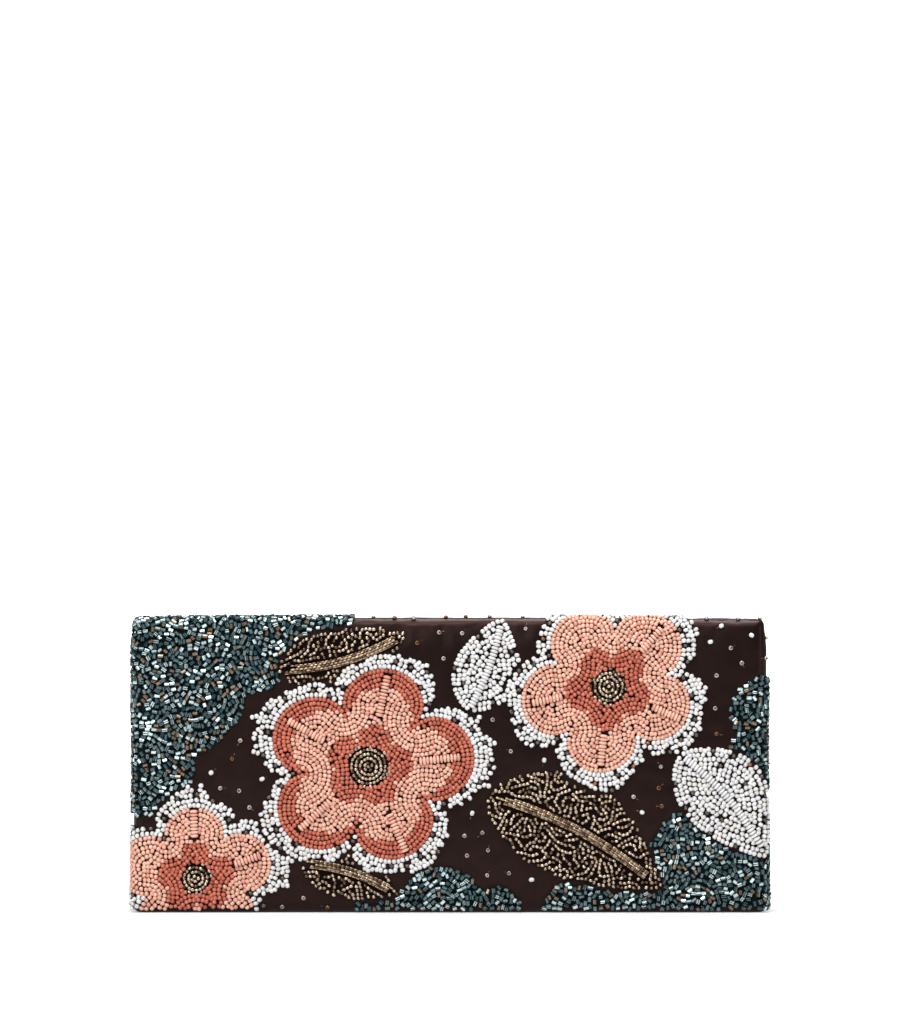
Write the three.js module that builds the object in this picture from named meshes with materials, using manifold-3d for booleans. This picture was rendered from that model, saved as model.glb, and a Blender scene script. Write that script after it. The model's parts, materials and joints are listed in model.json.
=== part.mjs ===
// Beaded satin clutch: a flat rectangular evening bag, open along the top, that stands on its base.
// Two padded satin shells meet at a seam round the sides and the base. Beadwork lies on the front:
// flowers with a ragged border, leaves with a raised midrib, and scalloped clouds.
// Millimetres, +Z up, the front faces -Y, the origin is on the floor under the middle of the bag.

import * as THREE from "three";
import { mergeVertices } from "three/addons/utils/BufferGeometryUtils.js";
import Module from "manifold-3d";

const wasm = await Module();
wasm.setup();

// Driving dimensions of the bag
const WIDTH = 279;
const HEIGHT = 130;
const DEPTH = 36; // between the rims of the two faces, without their crown
const WALL = 2.4; // satin over wadding
const EDGE_ROLL = 5; // radius of the soft roll round each face
const CORNER = 3.5; // corner radius of the outline seen from the front
const CORNER_FALL = 0.4; // how much tighter the corner gets for each millimetre towards the face
const LEAST_CORNER = 0.8;
const CROWN = 1.5; // how far the middle of a face stands proud of its rim
const TOP_BOW = 0.7; // rise of the top edge at the middle
const WAIST = 0.5; // how far each side is drawn in at half height
const SEAM_GAP = 0.3;
const MOUTH = 14; // widest gap between the lips
const MOUTH_END = 132; // the lips meet this far from the middle

// Beadwork, as heights over the satin
const STITCH_GAP = 0.3;
const BEAD_TOP = 2.0;
const RIB_FOOT = BEAD_TOP + STITCH_GAP;
const RIB_TOP = 3.8;
const RIB_WIDTH = 3.6;
const ZONE_GAP = 0.4; // between two bead colours
const MOTIF_GAP = 1.4; // bare satin between two motifs
const LEAST_PATCH = 30; // a smaller crumb of a motif, in cubic millimetres, is left off
const HALO = 7.6; // mean width of a flower's border
const RAGGED = 1.0; // how far the border's outer edge wanders

// Hidden closure: a magnet sewn inside the back lip
const MAGNET_RADIUS = 7;
const MAGNET_THICKNESS = 2.5;
const MAGNET_HEIGHT = 112;

// The seam plane is set so that the whole bag, ribs included, is centred front to back
const SEAM_Y = RIB_TOP / 2;

// Mesh density
const CORNER_STEPS = 3;
const LONG_STEPS = 12;
const SHORT_STEPS = 4;
const ROLL_ANGLES = [0, 21, 42, 66, 90]; // degrees, from the side wall to the face
const BEAD_ROLL_START = 42; // beadwork begins here, clear of the floor
const FACE_INSETS = [26, 62];
const PETAL_STEPS = 8;
const HALO_STEPS = 12; // for each petal
const LEAF_STEPS = 12;
const DISC_STEPS = 36;

// Flowers: centre, petal length and the angle of the first petal. Each zone is a bead colour with
// the share of the petal that it reaches; the last zone of each flower is its heart.
const PETALS = 5;
const NOTCH = 0.36; // depth of the notch between petals, as a share of the petal
const PETAL_ROUND = 0.62; // exponent that rounds the petal tips
const PETAL_WANDER = 0.05; // unevenness from petal to petal
const FLOWERS = [
  {
    name: "large", x: -36, z: 64, reach: 45, turn: 78,
    zones: [["terracotta", 1], ["peach", 0.8], ["terracotta", 0.42], ["bronze", 0.2]],
    rib: [0.5, 0.92],
  },
  {
    name: "top", x: 70, z: 99, reach: 38, turn: 48,
    zones: [["peach", 1], ["terracotta", 0.5], ["bronze", 0.2]],
    rib: [0.55, 0.9],
  },
  {
    name: "low", x: -112, z: 15, reach: 33, turn: 20,
    zones: [["peach", 1], ["terracotta", 0.5], ["bronze", 0.2]],
    rib: [0.55, 0.9],
  },
];

// Leaves: foot of the blade, its length, width and direction, and how far its middle bows sideways
const LEAF_FULLNESS = [0.8, 0.85]; // exponents along the blade and across it
const LEAF_RIB = [0.05, 0.9]; // where the midrib starts and ends along the blade
const LEAVES = [
  { name: "right", x: 16, z: 52, length: 88, width: 46, angle: -28, bow: 5, bead: "bronze" },
  { name: "upper", x: -76, z: 106, length: 60, width: 30, angle: 16, bow: -4, bead: "bronze" },
  { name: "edge", x: 101, z: 70, length: 60, width: 38, angle: -50, bow: 4, bead: "white" },
  { name: "top", x: 8, z: 88, length: 44, width: 30, angle: 70, bow: -2, bead: "white" },
  { name: "low", x: -66, z: 22, length: 46, width: 25, angle: -18, bow: 3, bead: "bronze" },
];

// Clouds: each is the union of its discs
const CLOUDS = [
  {
    name: "left",
    discs: [
      { x: -126, z: 104, radius: 38 },
      { x: -92, z: 122, radius: 27 },
      { x: -62, z: 132, radius: 20 },
      { x: -136, z: 66, radius: 24 },
    ],
  },
  {
    name: "right",
    discs: [
      { x: 122, z: 14, radius: 38 },
      { x: 90, z: 4, radius: 27 },
      { x: 60, z: -4, radius: 21 },
    ],
  },
  {
    name: "edge",
    discs: [
      { x: 139, z: 88, radius: 16 },
      { x: 137, z: 68, radius: 15 },
    ],
  },
  {
    name: "low",
    discs: [
      { x: -28, z: -2, radius: 15 },
      { x: -4, z: 2, radius: 19 },
      { x: 20, z: -1, radius: 13 },
    ],
  },
];

// Materials
const finish = (color, roughness, metalness = 0) =>
  new THREE.MeshStandardMaterial({ color, roughness, metalness });
const SATIN = finish(0x2c2120, 0.45);
const STEEL = finish(0xb8b4ac, 0.3, 1);
const BEADS = {
  teal: finish(0x3f6b70, 0.2, 0.3),
  white: finish(0xe4e2e1, 0.3),
  peach: finish(0xe0a184, 0.35),
  terracotta: finish(0xb0604c, 0.35),
  bronze: finish(0x8a7050, 0.25, 0.8),
};

const radians = THREE.MathUtils.degToRad;

// Solids: a closed three.js geometry as a manifold solid, and back
function solidOf(geometry) {
  const bare = geometry.clone();
  bare.deleteAttribute("normal");
  bare.deleteAttribute("uv");
  const merged = mergeVertices(bare, 1e-4);
  return new wasm.Manifold(
    new wasm.Mesh({
      numProp: 3,
      vertProperties: new Float32Array(merged.attributes.position.array),
      triVerts: new Uint32Array(merged.index.array),
    }),
  );
}

function geometryOf(solid) {
  const mesh = solid.getMesh();
  const geometry = new THREE.BufferGeometry();
  geometry.setAttribute("position", new THREE.BufferAttribute(mesh.vertProperties, 3));
  geometry.setIndex(new THREE.BufferAttribute(mesh.triVerts, 1));
  geometry.computeVertexNormals();
  return geometry;
}

// The bag's softness: the top edge bows up and the sides are drawn in a little
function soften(x, z) {
  const bow = 1 + (TOP_BOW / HEIGHT) * (1 - (2 * x / WIDTH) ** 2);
  const waist = 1 - (2 * WAIST / WIDTH) * Math.sin(Math.PI * THREE.MathUtils.clamp(z / HEIGHT, 0, 1));
  return [x * waist, z * bow];
}

// One turn round the bag, counter-clockwise from the bottom left corner: a rounded rectangle,
// smaller than the outline by the inset
function outline(inset) {
  const halfWidth = WIDTH / 2 - inset;
  const halfHeight = HEIGHT / 2 - inset;
  const radius = Math.max(CORNER - CORNER_FALL * inset, LEAST_CORNER);
  const corners = [[-1, -1], [1, -1], [1, 1], [-1, 1]].map(([across, up], corner) =>
    Array.from({ length: CORNER_STEPS + 1 }, (_, step) => {
      const angle = Math.PI + (corner + step / CORNER_STEPS) * (Math.PI / 2);
      return [
        across * (halfWidth - radius) + radius * Math.cos(angle),
        HEIGHT / 2 + up * (halfHeight - radius) + radius * Math.sin(angle),
      ];
    }),
  );
  const points = [];
  corners.forEach((arc, corner) => {
    const [fromX, fromZ] = arc[CORNER_STEPS];
    const [toX, toZ] = corners[(corner + 1) % 4][0];
    const steps = corner % 2 === 0 ? LONG_STEPS : SHORT_STEPS;
    points.push(...arc);
    for (let step = 1; step < steps; step++) {
      const share = step / steps;
      points.push([fromX + (toX - fromX) * share, fromZ + (toZ - fromZ) * share]);
    }
  });
  return points.map(([x, z]) => soften(x, z));
}

// How far the rim stays from the seam plane: the seam's gap, or half the mouth along the top
function rimDepth(x, z) {
  const alongTop = z > HEIGHT / 2 && Math.abs(x) < MOUTH_END;
  const opening = alongTop ? (MOUTH / 2) * (1 - (x / MOUTH_END) ** 2) : 0;
  return SEAM_GAP / 2 + opening;
}

function crownAt(inset) {
  const share = THREE.MathUtils.clamp((inset - EDGE_ROLL) / (HEIGHT / 2 - EDGE_ROLL), 0, 1);
  return CROWN * (1 - (1 - share) ** 2);
}

// Stations along the bag's section, from the rim over the roll to the middle of the face
const RIM = { part: "rim" };
const ROLL = ROLL_ANGLES.map((angle) => ({ part: "roll", angle }));
const FACE = FACE_INSETS.map((inset) => ({ part: "face", inset }));
const WHOLE_SECTION = [RIM, ...ROLL, ...FACE];
const BEADED_SECTION = [...ROLL.filter(({ angle }) => angle >= BEAD_ROLL_START), ...FACE];

// The ring of points at a station, a height over the satin
function ringAt(station, height) {
  if (station.part === "rim")
    return outline(-height).map(([x, z]) => new THREE.Vector3(x, -rimDepth(x, z), z));
  if (station.part === "roll") {
    const reach = EDGE_ROLL + height;
    const angle = radians(station.angle);
    const depth = DEPTH / 2 - EDGE_ROLL + reach * Math.sin(angle);
    const inset = EDGE_ROLL - reach * Math.cos(angle);
    return outline(inset).map(([x, z]) => new THREE.Vector3(x, -depth, z));
  }
  const depth = DEPTH / 2 + height + crownAt(station.inset);
  return outline(station.inset).map(([x, z]) => new THREE.Vector3(x, -depth, z));
}

// A closed wall between two heights over the satin, following the section's stations
function wallSolid(low, high, section) {
  const upper = section.map((station) => ringAt(station, high));
  const lower = section.map((station) => ringAt(station, low));
  const around = upper[0].length;
  const last = section.length - 1;
  const corners = [];
  const triangle = (a, b, c) => corners.push(a, b, c);
  const band = (from, to) => {
    for (let i = 0; i < around; i++) {
      const next = (i + 1) % around;
      triangle(from[i], from[next], to[next]);
      triangle(from[i], to[next], to[i]);
    }
  };
  for (let i = 0; i < last; i++) {
    band(upper[i], upper[i + 1]);
    band(lower[i + 1], lower[i]);
  }
  band(lower[0], upper[0]);
  const flat = upper[last].map(({ x, z }) => new THREE.Vector2(x, z));
  for (const [a, b, c] of THREE.ShapeUtils.triangulateShape(flat, [])) {
    triangle(upper[last][a], upper[last][b], upper[last][c]);
    triangle(lower[last][a], lower[last][c], lower[last][b]);
  }
  return solidOf(new THREE.BufferGeometry().setFromPoints(corners));
}

const beadLayer = wallSolid(STITCH_GAP, BEAD_TOP, BEADED_SECTION);
const ribLayer = wallSolid(RIB_FOOT, RIB_TOP, BEADED_SECTION);

// A motif's outline as a prism through the front of the bag
function prism(points) {
  const settings = { depth: DEPTH, bevelEnabled: false };
  const geometry = new THREE.ExtrudeGeometry(new THREE.Shape(points), settings);
  return solidOf(geometry.rotateX(Math.PI / 2));
}

// Points of a closed outline given by its radius at each angle, counted from its turn
function polar({ x, z, turn = 0 }, steps, radiusAt) {
  return Array.from({ length: steps }, (_, step) => {
    const angle = radians(turn) + (step / steps) * 2 * Math.PI;
    const radius = radiusAt(angle);
    return new THREE.Vector2(x + radius * Math.cos(angle), z + radius * Math.sin(angle));
  });
}

// Flowers
function petalRadius(flower, angle) {
  const lobe = Math.abs(Math.cos((PETALS / 2) * (angle - radians(flower.turn)))) ** PETAL_ROUND;
  const wander = 1 + PETAL_WANDER * Math.sin(2 * angle + flower.reach);
  return flower.reach * (1 - NOTCH + NOTCH * lobe) * wander;
}

function haloRadius(flower, angle) {
  const ragged = Math.sin(7 * angle + flower.reach) + 0.7 * Math.sin(12 * angle + flower.x);
  return petalRadius(flower, angle) + HALO + RAGGED * ragged;
}

// The outline of a zone; the heart of a flower is round
function zoneOutline(flower, index, grow = 0) {
  const share = flower.zones[index][1];
  const heart = index === flower.zones.length - 1;
  const steps = heart ? 2 * PETAL_STEPS : PETALS * PETAL_STEPS;
  return polar(flower, steps, (angle) =>
    (heart ? flower.reach : petalRadius(flower, angle)) * share + grow);
}

const haloOutline = (flower, grow = 0) =>
  polar(flower, PETALS * HALO_STEPS, (angle) => haloRadius(flower, angle) + grow);

// A bar with round ends along a line of points
function barOutline(line, width) {
  const sides = { left: [], right: [] };
  line.forEach((point, i) => {
    const ahead = line[Math.min(i + 1, line.length - 1)].clone();
    const along = ahead.sub(line[Math.max(i - 1, 0)]).normalize();
    const across = new THREE.Vector2(-along.y, along.x).multiplyScalar(width / 2);
    sides.left.push(point.clone().add(across));
    sides.right.unshift(point.clone().sub(across));
  });
  const tip = (from, to) => from.clone().sub(to).setLength(width / 2).add(from);
  const end = tip(line[line.length - 1], line[line.length - 2]);
  const start = tip(line[0], line[1]);
  return [...sides.right, start, ...sides.left, end];
}

// True where a point of the front lies on the face, clear of its roll
const onFace = ({ x, y }) =>
  Math.abs(x) < WIDTH / 2 - EDGE_ROLL && y > EDGE_ROLL && y < HEIGHT - EDGE_ROLL;

// The midline of each petal that lies wholly on the face
function petalRibs(flower) {
  const lines = Array.from({ length: PETALS }, (_, petal) => {
    const angle = radians(flower.turn + petal * (360 / PETALS));
    const direction = new THREE.Vector2(Math.cos(angle), Math.sin(angle));
    return flower.rib.map((share) =>
      direction.clone().multiplyScalar(flower.reach * share).add({ x: flower.x, y: flower.z }));
  });
  return lines.filter((line) => line.every(onFace));
}

// Leaves
function leafPoint(leaf, along, across) {
  const bow = leaf.bow * Math.sin(Math.PI * along);
  return new THREE.Vector2(leaf.length * along, bow + across)
    .rotateAround(new THREE.Vector2(), radians(leaf.angle))
    .add({ x: leaf.x, y: leaf.z });
}

function leafOutline(leaf, grow = 0) {
  const [lengthways, crossways] = LEAF_FULLNESS;
  const half = (along) =>
    (leaf.width / 2) * Math.sin(Math.PI * along ** lengthways) ** crossways + grow;
  const shares = Array.from({ length: LEAF_STEPS - 1 }, (_, step) => (step + 1) / LEAF_STEPS);
  const stretch = grow / leaf.length;
  return [
    leafPoint(leaf, -stretch, 0),
    ...shares.map((along) => leafPoint(leaf, along, -half(along))),
    leafPoint(leaf, 1 + stretch, 0),
    ...shares.reverse().map((along) => leafPoint(leaf, along, half(along))),
  ];
}

function leafRib(leaf) {
  const [from, to] = LEAF_RIB;
  return Array.from({ length: LEAF_STEPS / 2 + 1 }, (_, step) =>
    leafPoint(leaf, from + (to - from) * (step / (LEAF_STEPS / 2)), 0));
}

// Assembly
const clutch = new THREE.Group();
const body = new THREE.Group();
body.position.y = SEAM_Y;
clutch.add(body);

function piece(name, geometry, material) {
  const mesh = new THREE.Mesh(geometry, material);
  mesh.name = name;
  body.add(mesh);
  return mesh;
}

// The two shells are alike; the back one is turned half round
const shell = geometryOf(wallSolid(-WALL, 0, WHOLE_SECTION));
piece("front_shell", shell, SATIN);
piece("back_shell", shell, SATIN).rotation.z = Math.PI;

// The magnet lies against the inside of the back wall, just under the lip
const magnetInset = HEIGHT - MAGNET_HEIGHT - MAGNET_RADIUS;
const magnetSeat = DEPTH / 2 - WALL + crownAt(magnetInset) - STITCH_GAP;
const magnet = piece(
  "magnet_clasp",
  new THREE.CylinderGeometry(MAGNET_RADIUS, MAGNET_RADIUS, MAGNET_THICKNESS, 2 * PETAL_STEPS),
  STEEL,
);
magnet.position.set(0, magnetSeat - MAGNET_THICKNESS / 2, MAGNET_HEIGHT);

// Beadwork, from the top of the design down: what is placed first keeps its whole outline
let taken = null;
const claim = (outlineSolid) => {
  taken = taken ? taken.add(outlineSolid) : outlineSolid;
};

// A motif that another one or the bag's edge cuts apart becomes one piece for each part of it
function beadwork(name, outlineSolid, bead) {
  const patch = beadLayer.intersect(outlineSolid);
  const parts = (taken ? patch.subtract(taken) : patch)
    .decompose()
    .filter((part) => part.volume() > LEAST_PATCH);
  parts.forEach((part, index) => {
    const label = parts.length > 1 ? `${name}_${index + 1}` : name;
    piece(label, geometryOf(part), BEADS[bead]);
  });
}

function rib(name, line, bead) {
  const bar = ribLayer.intersect(prism(barOutline(line, RIB_WIDTH)));
  piece(name, geometryOf(bar), BEADS[bead]);
}

for (const flower of FLOWERS) {
  const within = (index) => prism(zoneOutline(flower, index, ZONE_GAP));
  beadwork(`${flower.name}_flower_halo`, prism(haloOutline(flower)).subtract(within(0)), "white");
  flower.zones.forEach(([bead], index) => {
    const whole = prism(zoneOutline(flower, index));
    const innermost = index === flower.zones.length - 1;
    const zone = innermost ? whole : whole.subtract(within(index + 1));
    beadwork(`${flower.name}_flower_${index + 1}_${bead}`, zone, bead);
  });
  petalRibs(flower).forEach((line, index) =>
    rib(`${flower.name}_flower_rib_${index + 1}`, line, "peach"));
  claim(prism(haloOutline(flower, MOTIF_GAP)));
}

for (const leaf of LEAVES) {
  beadwork(`${leaf.name}_leaf`, prism(leafOutline(leaf)), leaf.bead);
  rib(`${leaf.name}_leaf_rib`, leafRib(leaf), leaf.bead);
  claim(prism(leafOutline(leaf, MOTIF_GAP)));
}

for (const cloud of CLOUDS) {
  const discs = cloud.discs.map((disc) => prism(polar(disc, DISC_STEPS, () => disc.radius)));
  beadwork(`${cloud.name}_cloud`, discs.reduce((whole, disc) => whole.add(disc)), "teal");
}

export default clutch;
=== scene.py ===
# Dresses the beaded satin clutch: two padded satin shells, glass beads sewn on the front one in rows,
# runs and raised cords, stitches beside the single beads, and the hidden magnet. Lengths are in
# millimetres until a mesh is made. The front cloth is laid out flat: u runs along the bag, v up it.

import json
import math

import bpy
import numpy as np
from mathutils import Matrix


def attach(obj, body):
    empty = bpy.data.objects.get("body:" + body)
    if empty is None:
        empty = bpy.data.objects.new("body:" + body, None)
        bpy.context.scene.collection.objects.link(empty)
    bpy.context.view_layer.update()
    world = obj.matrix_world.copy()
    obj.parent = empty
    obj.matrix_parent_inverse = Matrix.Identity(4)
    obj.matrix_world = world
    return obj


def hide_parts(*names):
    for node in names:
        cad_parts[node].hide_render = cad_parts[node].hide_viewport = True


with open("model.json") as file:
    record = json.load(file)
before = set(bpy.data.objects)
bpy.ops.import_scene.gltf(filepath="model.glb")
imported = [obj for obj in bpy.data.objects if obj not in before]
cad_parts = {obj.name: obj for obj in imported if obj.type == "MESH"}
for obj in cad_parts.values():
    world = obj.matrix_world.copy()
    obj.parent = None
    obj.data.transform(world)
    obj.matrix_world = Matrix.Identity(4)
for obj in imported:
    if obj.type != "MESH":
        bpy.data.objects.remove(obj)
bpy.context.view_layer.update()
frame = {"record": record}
dice = np.random.default_rng(20)

# Sizes of the bag
MM = 0.001
WIDTH = 279.0
HEIGHT = 130.0
DEPTH = 36.0
WALL = 2.4
EDGE_ROLL = 5.0
CROWN = 1.5
TOP_BOW = 0.7
WAIST = 0.5
SEAM_GAP = 0.3
MOUTH = 14.0
MOUTH_END = 132.0
SEAM_Y = 1.9
CORNER_POWER = 3.0
TOP_FALL = 1.1
TOP_FALL_RUN = 12.0
BACK_FALL = 0.7
NEARLY_ZERO = 1e-9

MIDDLE = HEIGHT / 2
FACE_X = WIDTH / 2 - EDGE_ROLL
FACE_Z = HEIGHT / 2 - EDGE_ROLL
OVER_ROLL = EDGE_ROLL * math.pi / 2
WALL_RUN = DEPTH / 2 - EDGE_ROLL - SEAM_GAP / 2

# Beadwork: how far it wraps round the edges, its room to the floor and between motifs, and the width
# and ragged edge of a flower's border, as waves round the flower with their share and phase
EDGE_WRAP = 8.6
FLOOR_ROOM = 1.5
MOTIF_GAP = 1.4
HALO = 7.6
RAGGED = 1.0
RAGGED_WAVES = [(7, 1.0, "reach"), (12, 0.7, "u")]

# Flowers: centre, petal length, angle of the first petal, zones from the rim to the heart with the
# share of the petal that each reaches, and where the raised cord of a petal starts and ends
PETALS = 5
NOTCH = 0.36
PETAL_ROUND = 0.62
PETAL_WANDER = 0.05
OUTLINE_STEPS = 160
HEART_STEPS = 40
PETAL_CORD_STEPS = 8
FLOWERS = [
    {"u": -36, "v": 64, "reach": 45, "turn": 78, "cord": (0.5, 0.92),
     "zones": [("terracotta", 1), ("peach", 0.8), ("terracotta", 0.42), ("bronze", 0.2)]},
    {"u": 70, "v": 99, "reach": 38, "turn": 48, "cord": (0.55, 0.9),
     "zones": [("peach", 1), ("terracotta", 0.5), ("bronze", 0.2)]},
    {"u": -112, "v": 15, "reach": 33, "turn": 20, "cord": (0.55, 0.9),
     "zones": [("peach", 1), ("terracotta", 0.5), ("bronze", 0.2)]},
]

# Leaves: foot, length, width, direction and sideways bow of each blade
LEAF_FULLNESS = (0.8, 0.85)
LEAF_STEPS = 28
LEAF_CORD = (0.05, 0.9)
LEAF_CORD_STEPS = 20
LEAVES = [
    {"u": 16, "v": 52, "length": 88, "width": 46, "angle": -28, "bow": 5, "bead": "bronze"},
    {"u": -76, "v": 106, "length": 60, "width": 30, "angle": 16, "bow": -4, "bead": "bronze"},
    {"u": 101, "v": 70, "length": 60, "width": 38, "angle": -50, "bow": 4, "bead": "white"},
    {"u": 8, "v": 88, "length": 44, "width": 30, "angle": 70, "bow": -2, "bead": "white"},
    {"u": -66, "v": 22, "length": 46, "width": 25, "angle": -18, "bow": 3, "bead": "bronze"},
]

# Clouds: discs with their centre and radius
CLOUDS = [
    [(-126, 104, 38), (-92, 122, 27), (-62, 132, 20), (-136, 66, 24)],
    [(122, 14, 38), (90, 4, 27), (60, -4, 21)],
    [(139, 88, 16), (137, 68, 15)],
    [(-28, -2, 15), (-4, 2, 19), (20, -1, 13)],
]

# Beads: radius, half length, step along a row, distance between rows and the least room to others
BEADS = {
    "peach": {"radius": 1.05, "half": 0.92, "step": 1.84, "lane": 1.98, "room": 1.64},
    "terracotta": {"radius": 1.05, "half": 0.92, "step": 1.84, "lane": 1.98, "room": 1.64},
    "white": {"radius": 1.16, "half": 0.96, "step": 1.98, "lane": 2.14, "room": 1.78},
    "bronze": {"radius": 0.78, "half": 0.88, "step": 1.74, "lane": 1.92, "room": 1.4},
    "teal": {"radius": 0.95, "half": 1.14, "step": 2.34, "lane": 1.8, "room": 1.48},
    "strand": {"radius": 0.52, "half": 0.95, "step": 1.92},
    "lined": {"radius": 0.95, "half": 0.62},
    "thread": {"radius": 0.15, "half": 0.7},
}


# The bag's form
def soften(x, z):
    """The top edge bows up and the sides are drawn in a little."""
    bow = 1 + (TOP_BOW / HEIGHT) * (1 - (2 * x / WIDTH) ** 2)
    waist = 1 - (2 * WAIST / WIDTH) * np.sin(math.pi * np.clip(z / HEIGHT, 0, 1))
    return x * waist, z * bow


def crown(x, z):
    """How far the face stands proud of its rim."""
    across = 1 - np.clip(np.abs(x) / FACE_X, 0, 1) ** 4
    upward = 1 - np.clip(np.abs(z - MIDDLE) / FACE_Z, 0, 1) ** 2
    return CROWN * across * upward


def past_face(u, v):
    """How far a spot of the laid-out cloth lies beyond the flat of the face, sideways and upwards."""
    side = np.sign(u) * np.maximum(np.abs(u) - FACE_X, 0)
    rise = np.sign(v - MIDDLE) * np.maximum(np.abs(v - MIDDLE) - FACE_Z, 0)
    reach = (np.abs(side) ** CORNER_POWER + np.abs(rise) ** CORNER_POWER) ** (1 / CORNER_POWER)
    return side, rise, reach


def top_fall(v):
    """How much of the soft fall towards the top edge is reached, from 0 to 1."""
    return np.clip((v - MIDDLE - FACE_Z + TOP_FALL_RUN) / TOP_FALL_RUN, 0, 1) ** 2


def bag_point(u, v, lift=0.0, square=False):
    """Where a spot of the front cloth lies in space, lifted off the satin. The cloth runs over the
    edge roll and on along the wall. With square, the corners of the layout fold round evenly."""
    side, rise, reach = past_face(u, v)
    lift = lift - TOP_FALL * top_fall(v)
    over = np.maximum(np.abs(side), np.abs(rise)) if square else reach
    roll = np.minimum(over / EDGE_ROLL, math.pi / 2)
    out = (EDGE_ROLL + lift) * np.sin(roll) / np.maximum(reach, NEARLY_ZERO)
    x = np.clip(u, -FACE_X, FACE_X) + out * side
    z = np.clip(v, MIDDLE - FACE_Z, MIDDLE + FACE_Z) + out * rise
    along_wall = np.maximum(over - OVER_ROLL, 0)
    depth = DEPTH / 2 - EDGE_ROLL + (EDGE_ROLL + lift) * np.cos(roll) - along_wall + crown(x, z)
    x, z = soften(x, z)
    return np.stack([x, SEAM_Y - depth, z], axis=-1)


def unit(vectors):
    return vectors / np.linalg.norm(vectors, axis=-1, keepdims=True)


def bag_frame(u, v):
    """The directions along the cloth, up it and straight off it."""
    step = 0.2
    along = unit(bag_point(u + step, v) - bag_point(u - step, v))
    up = bag_point(u, v + step) - bag_point(u, v - step)
    off = unit(np.cross(along, up))
    return along, np.cross(off, along), off


# The laid-out front, on a fine grid
GRID = 0.5
U_LOW, U_HIGH = -152.0, 152.0
V_LOW, V_HIGH = -18.0, 148.0
BLUR_PASSES = 3
GRID_U = np.arange(U_LOW, U_HIGH + GRID, GRID)
GRID_V = np.arange(V_LOW, V_HIGH + GRID, GRID)
SHEET_U, SHEET_V = np.meshgrid(GRID_U, GRID_V, indexing="ij")
sewable = past_face(SHEET_U, SHEET_V)[2] < EDGE_WRAP
sewable &= bag_point(SHEET_U, SHEET_V, FLOOR_ROOM)[..., 2] > FLOOR_ROOM


def depth_inside(points, margin):
    """Distance to a closed outline at the grid spots, positive inside, measured as far as the margin."""
    depth = np.full(SHEET_U.shape, -margin)
    low, high = points.min(axis=0) - margin, points.max(axis=0) + margin
    block = np.ix_((GRID_U > low[0]) & (GRID_U < high[0]), (GRID_V > low[1]) & (GRID_V < high[1]))
    u, v = SHEET_U[block], SHEET_V[block]
    nearest = np.full(u.shape, np.inf)
    inside = np.zeros(u.shape, bool)
    for (u0, v0), (u1, v1) in zip(points, np.roll(points, -1, axis=0)):
        du, dv = u1 - u0, v1 - v0
        share = np.clip(((u - u0) * du + (v - v0) * dv) / (du * du + dv * dv), 0, 1)
        nearest = np.minimum(nearest, (u - u0 - share * du) ** 2 + (v - v0 - share * dv) ** 2)
        if dv:
            inside ^= ((v0 > v) != (v1 > v)) & (u < u0 + (v - v0) * du / dv)
    depth[block] = np.where(inside, 1, -1) * np.sqrt(nearest)
    return depth


def blur(field, radius):
    """Evens a grid out over a radius, by passes of a running mean."""
    reach = max(1, round(radius / GRID))
    for axis in (0, 1) * BLUR_PASSES:
        edges = [(reach + 1, reach) if a == axis else (0, 0) for a in (0, 1)]
        total = np.cumsum(np.pad(field, edges, mode="edge"), axis=axis)
        size = field.shape[axis]
        high = np.take(total, np.arange(size) + 2 * reach + 1, axis=axis)
        low = np.take(total, np.arange(size), axis=axis)
        field = (high - low) / (2 * reach + 1)
    return field


# Outlines of the motifs
def petal_radius(flower, angle):
    lobe = np.abs(np.cos(PETALS / 2 * (angle - math.radians(flower["turn"])))) ** PETAL_ROUND
    wander = 1 + PETAL_WANDER * np.sin(2 * angle + flower["reach"])
    return flower["reach"] * (1 - NOTCH + NOTCH * lobe) * wander


def halo_radius(flower, angle):
    ragged = sum(share * np.sin(waves * angle + flower[phase]) for waves, share, phase in RAGGED_WAVES)
    return petal_radius(flower, angle) + HALO + RAGGED * ragged


def angles_round(flower, steps):
    return math.radians(flower["turn"]) + np.arange(steps) / steps * math.tau


def round_outline(flower, angle, radius):
    return np.stack([flower["u"] + radius * np.cos(angle), flower["v"] + radius * np.sin(angle)], axis=1)


def halo_outline(flower):
    angle = angles_round(flower, OUTLINE_STEPS)
    return round_outline(flower, angle, halo_radius(flower, angle))


def zone_outline(flower, index):
    """Outline of one of a flower's zones. The last one is its round heart."""
    share = flower["zones"][index][1]
    if index == len(flower["zones"]) - 1:
        return round_outline(flower, angles_round(flower, HEART_STEPS), flower["reach"] * share)
    angle = angles_round(flower, OUTLINE_STEPS)
    return round_outline(flower, angle, petal_radius(flower, angle) * share)


def leaf_points(leaf, along, across):
    """Spots of a blade, given along it from foot to tip and across it from its midline."""
    turn = math.radians(leaf["angle"])
    length = leaf["length"] * along
    bowed = leaf["bow"] * np.sin(math.pi * along) + across
    u = leaf["u"] + length * math.cos(turn) - bowed * math.sin(turn)
    v = leaf["v"] + length * math.sin(turn) + bowed * math.cos(turn)
    return np.stack([u, v], axis=-1)


def leaf_outline(leaf):
    lengthways, crossways = LEAF_FULLNESS
    along = np.arange(1, LEAF_STEPS) / LEAF_STEPS
    half = leaf["width"] / 2 * np.sin(math.pi * along ** lengthways) ** crossways
    ends = [leaf_points(leaf, np.array([end]), np.zeros(1)) for end in (0.0, 1.0)]
    right, left = leaf_points(leaf, along, -half), leaf_points(leaf, along[::-1], half[::-1])
    return np.concatenate([ends[0], right, ends[1], left])


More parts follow.
